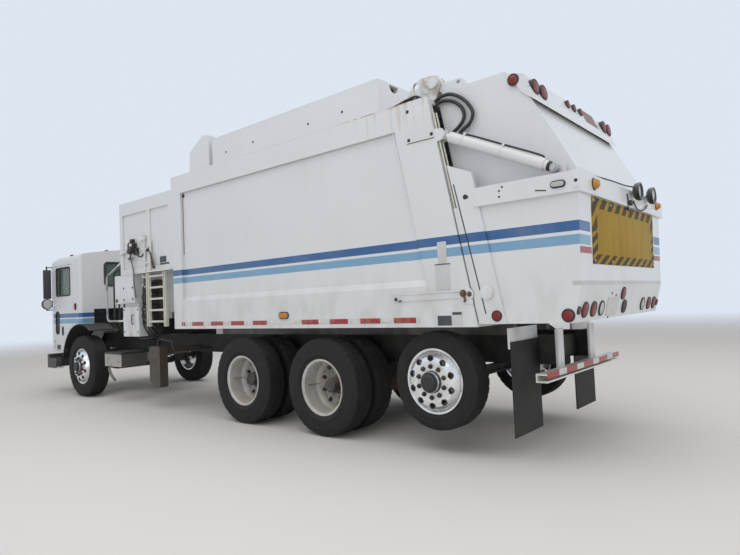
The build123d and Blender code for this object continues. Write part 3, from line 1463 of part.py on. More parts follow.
def ladder():
    """The ladder under the hopper's side."""
    x0 = BODY_FRONT_X + 270
    x1 = x0 + 440
    y = (BODY_HALF_W - 48, BODY_HALF_W - 8)
    low, high = RAIL_TOP_Z + 160, HOPPER_NECK_Z
    steps = block((x0, x0 + 25), y, (low, high)) + block((x1 - 25, x1), y, (low, high))
    for rung in range(5):
        z = low + 60 + rung * 165
        steps += block((x0, x1), y, (z, z + 28))
    return steps


LOW_BOX = ((HOPPER_FRONT_X - 430, HOPPER_FRONT_X + 50), (HOPPER_NECK_Z - 950, HOPPER_NECK_Z - 500))


def side_boxes():
    """The two cabinets at the hopper's front corner, on brackets, and the bent pipe ahead of them."""
    upper_x = (HOPPER_FRONT_X - 390, HOPPER_FRONT_X + 220)
    upper = block(upper_x, (BODY_HALF_W - 160, BODY_HALF_W - 10), (HOPPER_NECK_Z - 440, HOPPER_NECK_Z - SEAT_GAP))
    bracket_x = (HOPPER_FRONT_X - 330, HOPPER_FRONT_X - 80)
    upper += block(bracket_x, (HOPPER_NECK_Y, BODY_HALF_W - 159), (HOPPER_NECK_Z - 300, HOPPER_NECK_Z - 120))
    lower = block(LOW_BOX[0], (BODY_HALF_W - 190, BODY_HALF_W - 50), LOW_BOX[1])
    lower += block(bracket_x, (HOPPER_NECK_Y, BODY_HALF_W - 189), (HOPPER_FLOOR_Z + 10, LOW_BOX[1][1] - 20))
    pipe_y = BODY_HALF_W - 70
    top_z = HOPPER_NECK_Z + 215
    low_z = LOW_BOX[1][0] + 240
    reach_x = HOPPER_FRONT_X + 620
    course = [
        (HOPPER_FRONT_X + SEAT_GAP, pipe_y, top_z),
        (HOPPER_FRONT_X + 120, pipe_y, top_z),
        (reach_x, pipe_y, top_z - 200),
        (reach_x, pipe_y, low_z),
        (LOW_BOX[0][1] + SEAT_GAP, pipe_y, low_z),
    ]
    return upper, lower, pipe(course, 15, 70)


def battery_box():
    """The battery box hung from the left rail behind the front wheel, and the drop tank further back."""
    box_x = (HOPPER_FRONT_X + 190, HOPPER_FRONT_X + 750)
    top = RAIL_LOW_Z + 20
    box = block(box_x, (720, 1150), (top - 230, top))
    for x in (box_x[0] + 90, box_x[1] - 150):
        box += block((x, x + 60), (RAIL_OUT_Y, 721), (top - 190, top - 10))
        box += block((x, x + 60), (RAIL_OUT_Y, RAIL_OUT_Y + 14), (top - 190, RAIL_TOP_Z - 60))
    tank_x = (BODY_FRONT_X + 560, BODY_FRONT_X + 850)
    tank_top = RAIL_LOW_Z + 130
    tank = side_plate(
        [
            (tank_x[0], tank_top),
            (tank_x[0], tank_top - 590),
            (tank_x[0] + 120, tank_top - 610),
            (tank_x[1], tank_top - 510),
            (tank_x[1], tank_top),
        ],
        TANK_Y[0],
        TANK_Y[1],
    )
    tank += block((tank_x[0] + 40, tank_x[0] + 100), (RAIL_OUT_Y, TANK_Y[0] + 1), (tank_top - 100, tank_top - 20))
    return box, tank


TANK_Y = (1010.0, 1140.0)
HOSE_R = 13.0
HOSE_BEND = 95.0


def service_hoses():
    """Three hoses from the hopper's front down to the left rail, and the drop tank's own."""
    hoses = []
    front = HOPPER_FRONT_X + SEAT_GAP
    rail = RAIL_OUT_Y + SEAT_GAP
    for row in range(3):
        y, x = 990 + 45 * row, HOPPER_FRONT_X + 370 + 75 * row
        top, low = HOPPER_NECK_Z + 90 + 40 * row, RAIL_TOP_Z - 80
        course = [
            (front, y, top),
            (front + 120, y, top),
            (x, y, top - 90),
            (x, y, low + 230),
            (x, 760, low),
            (x, rail, low),
        ]
        hoses.append(pipe(course, HOSE_R, HOSE_BEND))
    tank_x, tank_top = BODY_FRONT_X + 700, RAIL_LOW_Z + 130
    tank_y = sum(TANK_Y) / 2
    course = [
        (tank_x, tank_y, tank_top + SEAT_GAP),
        (tank_x, tank_y, tank_top + 110),
        (tank_x - 400, tank_y, tank_top + 80),
        (tank_x - 400, tank_y, tank_top - 60),
        (tank_x - 400, rail, tank_top - 60),
    ]
    hoses.append(pipe(course, HOSE_R, 55))
    return hoses


def valve_bank():
    """The row of valve sections under the hopper on the left."""
    x0 = BODY_FRONT_X + 780
    low = HOPPER_FLOOR_Z - 100
    bank = block((x0, x0 + 200), (HOPPER_NECK_Y, HOPPER_NECK_Y + 70), (low, low + 600))
    for row in range(6):
        z = low + 40 + row * 92
        bank += block((x0 + 20, x0 + 180), (HOPPER_NECK_Y + 69, HOPPER_NECK_Y + 180), (z, z + 60))
        bank += bar((x0 + 100, HOPPER_NECK_Y + 179, z + 30), (x0 + 100, HOPPER_NECK_Y + 220, z + 30), 18)
    return bank


write("ladder", ladder())
write("side_boxes", *side_boxes())
write("battery_box", *battery_box())
write("service_hoses", *service_hoses())
write("valve_bank", valve_bank())


# Rear guard and mudflaps

GUARD_HALF_W = 970.0
GUARD_HEIGHT = 75.0
GUARD_WALL = 14.0
FLAP_Y = (440.0, 1010.0)
FLAP_LOW_Z = 200.0


def rear_guard():
    """The low channel at the rear, open to the back, on two uprights from the rails."""
    half, low, wall = GUARD_HALF_W, RAIL_LOW_Z - 90, GUARD_WALL
    rear = RAIL_REAR_X - 110
    front = RAIL_REAR_X - 10
    channel = block((rear, front), (-half, half), (low, low + GUARD_HEIGHT))
    channel -= block((rear - 1, front - wall), (-half - 1, half + 1), (low + wall, low + GUARD_HEIGHT - wall))
    for side in (1, -1):
        y = tuple(sorted((side * (RAIL_OUT_Y - RAIL_FLANGE), side * (RAIL_OUT_Y + 60))))
        channel += block((front - wall + 2, RAIL_REAR_X), y, (low + 2, RAIL_TOP_Z + 60))
    return channel


def mudflap(side):
    """One rubber flap behind the wheels and the hanger plate that it is bolted to."""
    y = tuple(sorted((side * FLAP_Y[0], side * FLAP_Y[1])))
    hanger_x = RAIL_REAR_X + 190
    hanger = block((hanger_x, hanger_x + 20), y, (RAIL_TOP_Z - 80, RAIL_TOP_Z + 100))
    foot_y = tuple(sorted((side * RAIL_OUT_Y, side * (FLAP_Y[0] + 1))))
    hanger += block((hanger_x, hanger_x + 80), foot_y, (RAIL_TOP_Z - 80, RAIL_TOP_Z))
    flap = block((hanger_x - 12, hanger_x), y, (FLAP_LOW_Z, RAIL_TOP_Z - 20))
    return hanger, flap


write("rear_guard", rear_guard())
write("flap_hangers", mudflap(1)[0], mudflap(-1)[0])
write("mudflaps", mudflap(1)[1], mudflap(-1)[1])
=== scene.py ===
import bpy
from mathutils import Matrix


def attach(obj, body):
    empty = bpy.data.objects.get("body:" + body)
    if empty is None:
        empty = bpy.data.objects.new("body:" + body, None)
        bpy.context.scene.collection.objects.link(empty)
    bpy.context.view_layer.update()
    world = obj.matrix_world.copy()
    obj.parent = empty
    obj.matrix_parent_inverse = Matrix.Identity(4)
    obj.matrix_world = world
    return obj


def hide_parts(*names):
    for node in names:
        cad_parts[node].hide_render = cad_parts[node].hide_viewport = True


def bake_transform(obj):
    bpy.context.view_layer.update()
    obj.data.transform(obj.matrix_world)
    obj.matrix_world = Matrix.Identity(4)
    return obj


bl_info = {
    "name": "Garbage Truck Looks",
    "version": (1, 0, 0),
    "blender": (4, 5, 0),
    "location": "3D View > Sidebar > Garbage Truck",
    "description": "Finishes and fittings of a side loading garbage truck, built on its packed frame",
    "category": "Add Mesh",
}

import math
import random

import bmesh
import bpy
from bpy.props import FloatProperty, FloatVectorProperty, IntProperty, PointerProperty
from mathutils import Matrix, Vector

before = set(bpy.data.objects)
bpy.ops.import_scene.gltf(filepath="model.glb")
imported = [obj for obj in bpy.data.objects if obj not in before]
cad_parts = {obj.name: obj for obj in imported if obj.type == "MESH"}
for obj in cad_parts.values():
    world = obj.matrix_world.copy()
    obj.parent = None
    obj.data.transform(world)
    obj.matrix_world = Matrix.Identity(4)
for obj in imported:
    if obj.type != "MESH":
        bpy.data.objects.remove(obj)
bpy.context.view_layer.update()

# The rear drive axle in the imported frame. Every place below counts forward from that axle, in metres.
REAR_AXLE_X = -2.198
SIDES = (("left", 1), ("right", -1))
# Each axle's x and z.
AXLES = {"front": (5.88, 0.525), "mid": (1.362, 0.525), "rear": (0.0, 0.525), "tag": (-1.41, 0.660)}
SOFT_EDGE = 0.0015
# Sight lines that find a surface start here, outside the truck.
SIDE_START = 2.0
REAR_START = -4.0
ROOF_START = 4.0


# Shader nodes written as expressions


class Wire:
    """One output of a shader node, with the arithmetic that adds Math nodes."""

    def __init__(self, nodes, socket):
        self.nodes = nodes
        self.socket = socket

    def math(self, operation, *others):
        """A Math node with this value first."""
        return self.nodes.node("ShaderNodeMath", {"operation": operation}, dict(enumerate((self,) + others)))

    def after(self, operation, first):
        """A Math node with this value second."""
        return self.nodes.node("ShaderNodeMath", {"operation": operation}, {0: first, 1: self})

    def __add__(self, other):
        return self.math("ADD", other)

    def __mul__(self, other):
        return self.math("MULTIPLY", other)

    def __sub__(self, other):
        return self.math("SUBTRACT", other)

    def __truediv__(self, other):
        return self.math("DIVIDE", other)

    def __pow__(self, other):
        return self.math("POWER", other)

    def __rsub__(self, other):
        return self.after("SUBTRACT", other)

    def __rtruediv__(self, other):
        return self.after("DIVIDE", other)

    def __abs__(self):
        return self.math("ABSOLUTE")

    def __mod__(self, other):
        return self.math("FLOORED_MODULO", other)

    __radd__ = __add__
    __rmul__ = __mul__


class NodeTree:
    """A tree of shader nodes, each added by one call."""

    def __init__(self, tree):
        self.tree = tree

    def node(self, kind, settings=None, values=None, output=0):
        """Adds a node: its settings first, then the value or link of each input."""
        made = self.tree.nodes.new(kind)
        for key, value in (settings or {}).items():
            setattr(made, key, value)
        for key, value in (values or {}).items():
            if isinstance(value, Wire):
                self.tree.links.new(value.socket, made.inputs[key])
            else:
                made.inputs[key].default_value = value
        return Wire(self, made.outputs[output])


class Finish(NodeTree):
    """One material: a Principled shader and the nodes that vary it over the surface."""

    def __init__(self, name):
        self.material = bpy.data.materials.new(name)
        self.material.use_nodes = True
        super().__init__(self.material.node_tree)
        self.tree.nodes.clear()
        self.shader = self.tree.nodes.new("ShaderNodeBsdfPrincipled")
        self.output = self.tree.nodes.new("ShaderNodeOutputMaterial")
        self.tree.links.new(self.shader.outputs[0], self.output.inputs["Surface"])
        self.place = self.node("ShaderNodeTexCoord", output="Object")
        axes = (self.node("ShaderNodeSeparateXYZ", {}, {0: self.place}, axis) for axis in "XYZ")
        self.x, self.y, self.z = axes
        self.x = self.x - REAR_AXLE_X

    def set(self, **values):
        """Gives the shader's sockets their constants or links; an underscore stands for a space."""
        for key, value in values.items():
            socket = self.shader.inputs[key.replace("_", " ")]
            if isinstance(value, Wire):
                self.tree.links.new(value.socket, socket)
            else:
                socket.default_value = opaque(value) if key in ("Base_Color", "Emission_Color") else value
        return self

    def rise(self, value, low, high):
        """0 below low, 1 above high and smooth between."""
        settings = {"interpolation_type": "SMOOTHSTEP"}
        return self.node("ShaderNodeMapRange", settings, {0: value, 1: low, 2: high, 3: 0.0, 4: 1.0})

    def band(self, value, low, high, soft=SOFT_EDGE):
        """1 between low and high."""
        return self.rise(value, low - soft, low + soft) * (1 - self.rise(value, high - soft, high + soft))

    def noise(self, scale, detail=4.0, stretch=(1, 1, 1), roughness=0.55, shift=0.0):
        """Cloudy noise from 0 to 1 over the object's own coordinates."""
        shifted = {0: self.place, 1: stretch, 2: (shift, shift, shift)}
        spread = self.node("ShaderNodeVectorMath", {"operation": "MULTIPLY_ADD"}, shifted)
        values = {"Vector": spread, "Scale": scale, "Detail": detail, "Roughness": roughness}
        return self.node("ShaderNodeTexNoise", {}, values)

    def mix(self, factor, first, second):
        """A colour between two colours."""
        ends = [colour if isinstance(colour, Wire) else opaque(colour) for colour in (first, second)]
        settings = {"data_type": "RGBA", "clamp_factor": True}
        return self.node("ShaderNodeMix", settings, {0: factor, 6: ends[0], 7: ends[1]}, 2)

    def bump(self, height, strength, distance):
        """Raises the surface by a height, through the shader's normal."""
        values = {"Strength": strength, "Distance": distance, "Height": height}
        return self.set(Normal=self.node("ShaderNodeBump", {}, values))

    def corners(self, distance):
        """1 deep in corners and 0 on open faces."""
        settings = {"samples": 6}
        return 1 - self.node("ShaderNodeAmbientOcclusion", settings, {"Distance": distance}, "AO")

    def facing_up(self):
        """1 on level tops and 0 on walls."""
        normal = self.node("ShaderNodeTexCoord", output="Normal")
        return self.rise(self.node("ShaderNodeSeparateXYZ", {}, {0: normal}, "Z"), 0.3, 0.95)


def opaque(colour):
    """A colour with full alpha."""
    return (colour[0], colour[1], colour[2], 1.0)


# Finishes

CREAM_DIRT = (0.52, 0.45, 0.33)
RUST = (0.22, 0.085, 0.03)
DUST = (0.42, 0.37, 0.30)
TAILGATE_PIVOT = (-1.53, 3.45)
# Lowest and highest z of the blue stripes.
BODY_DARK_STRIPE = (1.895, 1.975)
BODY_LIGHT_STRIPE = (1.790, 1.868)
CAB_DARK_STRIPE = (1.375, 1.452)
CAB_LIGHT_STRIPE = (1.270, 1.352)
# The rear board's bare middle, and the step from one slanting bar to the next.
BARE_Y = (-0.83, 0.81)
BARE_Z = (1.725, 2.100)
BAR_STEP = 0.200


def paint(name, marks=None, dirt=1.0, low_z=1.15, high_z=2.0, tint=None):
    """White truck paint with faint mottling, run-down streaks, dust below, and grime with painted shade in
    its corners.
    """
    look = settings().paint
    f = Finish(name)
    white = tint or look.white
    mottle = f.rise(f.noise(0.9, 3.0), 0.35, 0.75)
    colour = f.mix(mottle * 0.35, white, [part * 0.90 for part in white])
    if marks:
        colour = marks(f, colour)
    streak = f.rise(f.noise(9.0, 6.0, (1, 1, 0.07), 0.6), 0.52, 0.74)
    patch = f.rise(f.noise(1.6, 3.0, shift=7.0), 0.46, 0.72)
    amount = look.grime * dirt
    colour = f.mix(streak * patch * 0.20 * amount, colour, CREAM_DIRT)
    low = 1 - f.rise(f.z, low_z, high_z)
    dusty = f.rise(f.noise(5.0, 6.0, (1, 1, 0.5), shift=3.0), 0.36, 0.74)
    colour = f.mix(low * dusty * 0.50 * amount, colour, DUST)
    # Grime in the corners, placed by ambient occlusion. It is also painted shade: darker where shade falls.
    corner = f.corners(0.09)
    speck = f.noise(34.0, 5.0, shift=2.0)
    grime = f.rise(corner, 0.34, 0.80) * (0.35 + speck * 0.6)
    colour = f.mix(grime * 0.75 * amount, colour, CREAM_DIRT)
    colour = f.mix(f.facing_up() * (0.25 + dusty * 0.5) * 0.5 * amount, colour, CREAM_DIRT)
    f.set(Base_Color=colour, Coat_Roughness=0.12, Specular_IOR_Level=0.5)
    f.set(Roughness=0.34 + 0.35 * streak * patch + 0.25 * low * dusty + 0.2 * grime)
    f.set(Coat_Weight=0.35 - 0.3 * (low * dusty))
    return f.bump(f.noise(1.7, 2.0, shift=5.0) + 0.03 * speck, 0.16, 0.02)


def coloured(name, colour, rough, metal, spread, grain, rise, dust, worn=None):
    """A one-colour finish with mottling, dust and a fine grain; worn is what rubbed spots show."""
    f = Finish(name)
    mottle = f.noise(grain * 0.2, 4.0)
    fine = f.noise(grain * 4, 4.0, shift=4.0)
    base = f.mix(mottle * spread, colour, [min(1.0, part * 0.5) for part in colour])
    dusty = f.rise(f.noise(grain * 0.35, 5.0, shift=9.0), 0.40, 0.75)
    if worn:
        base = f.mix(f.rise(fine * mottle, 0.30, 0.36) * 0.7, base, worn)
    base = f.mix((dusty * 0.6 + f.facing_up() * 0.5) * dust, base, DUST)
    f.set(Base_Color=base, Metallic=metal, Roughness=rough + 0.2 * dusty + 0.1 * (fine - 0.5))
    return f.bump(fine, rise, 0.002)


def radius_about(f, place):
    """How far a point lies from an (x, z) place, seen from the side."""
    across = f.x - place[0]
    up = f.z - place[1]
    return (across * across + up * up) ** 0.5


def body_marks(f, colour):
    """Two blue stripes, rust that runs from the top rail, grime at the pivot and painted shade on the
    underside.
    """
    look = settings().paint
    side = f.rise(abs(f.y), 1.172, 1.176) * (1 - f.rise(f.x, 2.785, 2.79))
    corner = f.rise(abs(f.y), 0.968, 0.972) * (1 - f.rise(f.x, -2.70, -2.69))
    where = side.math("MAXIMUM", corner)
    dark = f.band(f.z, *BODY_DARK_STRIPE) * where
    light = f.band(f.z, *BODY_LIGHT_STRIPE) * where
    fade = 0.88 + 0.2 * f.noise(3.0, 3.0, shift=6.0)
    colour = f.mix(dark * fade, colour, look.dark_stripe)
    colour = f.mix(light * fade, colour, look.light_stripe)
    edge = f.rise(f.z, 3.262, 3.272) * f.band(f.x, -1.30, -0.50, 0.10) * f.rise(abs(f.y), 1.17, 1.19)
    edge = edge * f.rise(f.noise(12.0, 5.0, shift=17.0), 0.35, 0.60)
    colour = f.mix(edge * 0.8, colour, (0.42, 0.23, 0.11))
    # Painted shade: the underside of the body is near black.
    under = (1 - f.rise(f.z, 1.150, 1.156)) * (1 - f.rise(abs(f.y), 1.10, 1.12))
    colour = f.mix(under * 0.95, colour, (0.030, 0.029, 0.028))
    near = f.band(f.x, -1.60, -0.80, 0.30) * f.rise(f.z, 2.93, 3.28)
    run = f.rise(f.noise(22.0, 6.0, (1, 1, 0.06), 0.65, 14.0), 0.48, 0.66)
    colour = f.mix(near * run * 0.55 * look.grime, colour, (0.45, 0.27, 0.13))
    pivot = f.band(radius_about(f, TAILGATE_PIVOT), 0.055, 0.150, 0.030) * f.rise(abs(f.y), 1.03, 1.05)
    pivot = pivot * f.rise(f.noise(15.0, 5.0, shift=21.0), 0.30, 0.62)
    return f.mix(pivot * 0.65 * look.grime, colour, (0.33, 0.24, 0.16))


def tail_marks(f, colour):
    """The body's marks, black work lamps behind the mid beam and a painted shadow along the crease under the
    board.
    """
    colour = body_marks(f, colour)
    behind = f.rise(f.y, -0.72, -0.71) * (1 - f.rise(f.y, 0.0, 0.01))
    # Painted shadow: a grey band along the ledge of the crease under the board.
    crease = f.band(f.z, 1.478, 1.512, 0.004) * (1 - f.rise(f.x, -2.79, -2.78))
    colour = f.mix(crease * 0.55, colour, (0.33, 0.34, 0.36))
    return f.mix((1 - f.rise(f.x, -2.907, -2.904)) * behind, colour, (0.012, 0.012, 0.013))


def cab_marks(f, colour):
    """The cab's two stripes, carried round its side and rear wall, and painted shade in the notch over the
    engine.
    """
    look = settings().paint
    where = 1 - f.rise(f.x, 7.04, 7.05)
    dark = f.band(f.z, *CAB_DARK_STRIPE) * where
    light = f.band(f.z, *CAB_LIGHT_STRIPE) * where
    colour = f.mix(light, f.mix(dark, colour, look.dark_stripe), look.light_stripe)
    # Painted shade: the low notch behind the cab, over the engine, is near black.
    low_rear = (1 - f.rise(f.z, 1.512, 1.516)) * (1 - f.rise(f.x, 6.30, 6.31))
    notch = (1 - f.rise(abs(f.y), 0.901, 0.906)) * low_rear
    return f.mix(notch * 0.94, colour, (0.020, 0.020, 0.021))


def side_box_marks(f, colour):
    """Darkens the bent pipe ahead of the side boxes, in clouds."""
    pipe = f.rise(f.x, 4.505, 4.520)
    cloud = f.rise(f.noise(6.0, 4.0, shift=11.0), 0.40, 0.62)
    return f.mix(pipe * (0.45 + 0.45 * cloud), colour, (0.13, 0.12, 0.11))


def tyre_rubber():
    """Black rubber, grey with dust on its walls and brown in its tread."""
    f = Finish("tyre_rubber_worn")
    fine = f.noise(160.0, 4.0)
    cloud = f.rise(f.noise(7.0, 5.0, shift=3.0), 0.35, 0.72)
    base = f.mix(cloud * 0.6, (0.012, 0.012, 0.013), (0.034, 0.033, 0.032))
    base = f.mix(f.corners(0.03) * 0.50, base, (0.105, 0.085, 0.062))
    base = f.mix(f.facing_up() * 0.20, base, (0.12, 0.11, 0.095))
    f.set(Base_Color=base, Roughness=0.72 + 0.2 * cloud, Specular_IOR_Level=0.35)
    return f.bump(fine + cloud * 0.4, 0.25, 0.0015)


def steel_wheel(name, axle):
    """A white painted steel wheel, dirty, with grease and painted shade deep in its dish, and a greasy hub.
    """

    def wheel_marks(f, colour):
        """Dirt over the paint, grease with painted shade deep in the dish, and grease on the hub."""
        radius = radius_about(f, axle)
        hub = 1 - f.rise(radius + 0.012 * f.noise(20.0, 3.0), 0.106, 0.112)
        cloud = f.rise(f.noise(6.0, 5.0, shift=5.0), 0.35, 0.70)
        colour = f.mix(0.30 + 0.35 * cloud, colour, (0.30, 0.27, 0.22))
        grease = f.rise(f.noise(16.0, 5.0, shift=8.0), 0.35, 0.62)
        # Grease and painted shade: the inner dish of the wheel is near black.
        deep = (1 - f.rise(abs(f.y), 0.915, 0.975)) * (0.45 + 0.5 * grease)
        colour = f.mix(deep * 0.85, colour, (0.055, 0.048, 0.040))
        return f.mix(hub, colour, (0.020, 0.019, 0.018))

    return paint(name, wheel_marks, 1.3, 0.3, 1.4)


def bright_wheel(name, axle):
    """A turned and polished aluminium wheel with a dark hub and painted shade in its corners."""
    f = Finish(name)
    radius = radius_about(f, axle)
    hub = 1 - f.rise(radius, 0.094, 0.097)
    haze = f.rise(f.noise(11.0, 5.0), 0.38, 0.74)
    base = f.mix(haze * 0.5, (0.86, 0.87, 0.88), (0.52, 0.51, 0.49))
    # Painted shade: darker and browner in the corners, placed by ambient occlusion.
    base = f.mix(f.corners(0.05) * 0.6, base, (0.18, 0.16, 0.14))
    base = f.mix(hub, base, (0.03, 0.03, 0.032))
    f.set(Base_Color=base, Metallic=0.95 - 0.9 * hub, Roughness=0.22 + 0.22 * haze + 0.15 * hub)
    turned = (radius * 2600.0).math("SINE") * 0.5 + f.noise(60.0, 3.0)
    return f.bump(turned, 0.05, 0.001)


def clear_glass(name, tint, alpha):
    """A tinted pane with dust and wiped smears."""
    f = Finish(name)
    smear = f.rise(f.noise(4.0, 5.0, (1, 1, 0.4)), 0.42, 0.78)
    f.set(Base_Color=f.mix(smear * 0.35, tint, (0.50, 0.50, 0.46)), Roughness=0.03 + 0.12 * smear)
    f.set(Alpha=alpha + 0.12 * smear, IOR=1.45, Specular_IOR_Level=0.6)
    return f.bump(f.noise(2.0, 2.0), 0.02, 0.004)


def lens(name, colour):
    """Moulded lamp plastic with small square optics under a gloss."""
    f = Finish(name)
    rows = [(way * 420.0).math("SINE") for way in (f.x, f.y, f.z)]
    optics = (rows[1] * rows[2]) * 0.5 + rows[0] * 0.3
    haze = f.rise(f.noise(18.0, 4.0), 0.40, 0.75)
    dull = [part * 0.55 + 0.01 for part in colour]
    f.set(Base_Color=f.mix(haze * 0.35, colour, dull), Roughness=0.28 + 0.25 * haze)
    f.set(Coat_Weight=0.25, Coat_Roughness=0.08, Specular_IOR_Level=0.4)
    return f.bump(optics, 0.35, 0.0015)


def tape(name, start, pitch, share, along="x", gap=(90.0, 91.0)):
    """Reflective tape, red and white by turns but white in a gap, with a honeycomb under its gloss."""
    f = Finish(name)
    run = getattr(f, along)
    phase = ((start - run) / pitch) % 1.0
    red = (1 - f.rise(phase, share - 0.004, share + 0.004)) * (1 - f.band(run, gap[0], gap[1]))
    cells = f.node("ShaderNodeTexVoronoi", {}, {"Vector": f.place, "Scale": 260.0})
    dirt = f.rise(f.noise(16.0, 5.0), 0.40, 0.72)
    base = f.mix(red, (0.66, 0.66, 0.65), (0.34, 0.014, 0.018))
    base = f.mix(dirt * 0.40, base, (0.33, 0.28, 0.22))
    f.set(Base_Color=base, Roughness=0.30 + 0.3 * dirt, Coat_Weight=0.4 - 0.3 * dirt)
    return f.bump(cells, 0.15, 0.0008)


def hazard_board():
    """Yellow board with black slanting bars round its edge and a bare middle."""
    look = settings().paint
    f = Finish("hazard_board")
    lean = 1.1 + 1.1 * (1 - f.rise(f.z, 1.90, 1.92))
    slant = ((f.y + (f.z - 1.95) * lean) / BAR_STEP) % 1.0
    bars = f.band(slant, 0.02, 0.60, 0.012)
    field = f.band(f.y, *BARE_Y, 0.004) * f.band(f.z, *BARE_Z, 0.003)
    fade = f.rise(f.noise(3.2, 5.0, (1, 1, 0.5)), 0.30, 0.78)
    yellow = f.mix(fade * 0.5, look.hazard, [part * 0.70 for part in look.hazard])
    base = f.mix(bars * (1 - field) * 0.93, yellow, (0.040, 0.026, 0.010))
    dirt = f.rise(f.noise(12.0, 6.0, (1, 1, 0.25)), 0.42, 0.75)
    base = f.mix(dirt * 0.18, base, (0.22, 0.16, 0.07))
    f.set(Base_Color=base, Roughness=0.55 + 0.20 * dirt, Specular_IOR_Level=0.22)
    return f.bump(f.noise(90.0, 3.0), 0.08, 0.001)


def battery_metal():
    """A pale battery box with a black lid, the brown drop tank behind it, and painted shade in its corners.
    """
    f = Finish("battery_and_tank")
    cloud = f.rise(f.noise(9.0, 5.0), 0.38, 0.74)
    lid = f.rise(f.z, 0.755, 0.759)
    behind = 1 - f.rise(f.x, 3.99, 4.01)
    base = f.mix(cloud * 0.6, (0.46, 0.45, 0.43), (0.24, 0.21, 0.17))
    base = f.mix(1 - f.rise(f.x, 4.472, 4.475), base, (0.13, 0.128, 0.122))
    base = f.mix(lid, base, (0.030, 0.030, 0.031))
    base = f.mix(behind, base, (0.070, 0.056, 0.045))
    # Painted shade: darker in the corners, placed by ambient occlusion.
    base = f.mix(f.corners(0.04) * 0.6, base, (0.10, 0.085, 0.065))
    f.set(Base_Color=base, Metallic=(1 - lid) * (1 - behind) * 0.4, Roughness=0.42 + 0.25 * cloud)
    return f.bump(f.noise(60.0, 3.0), 0.1, 0.001)


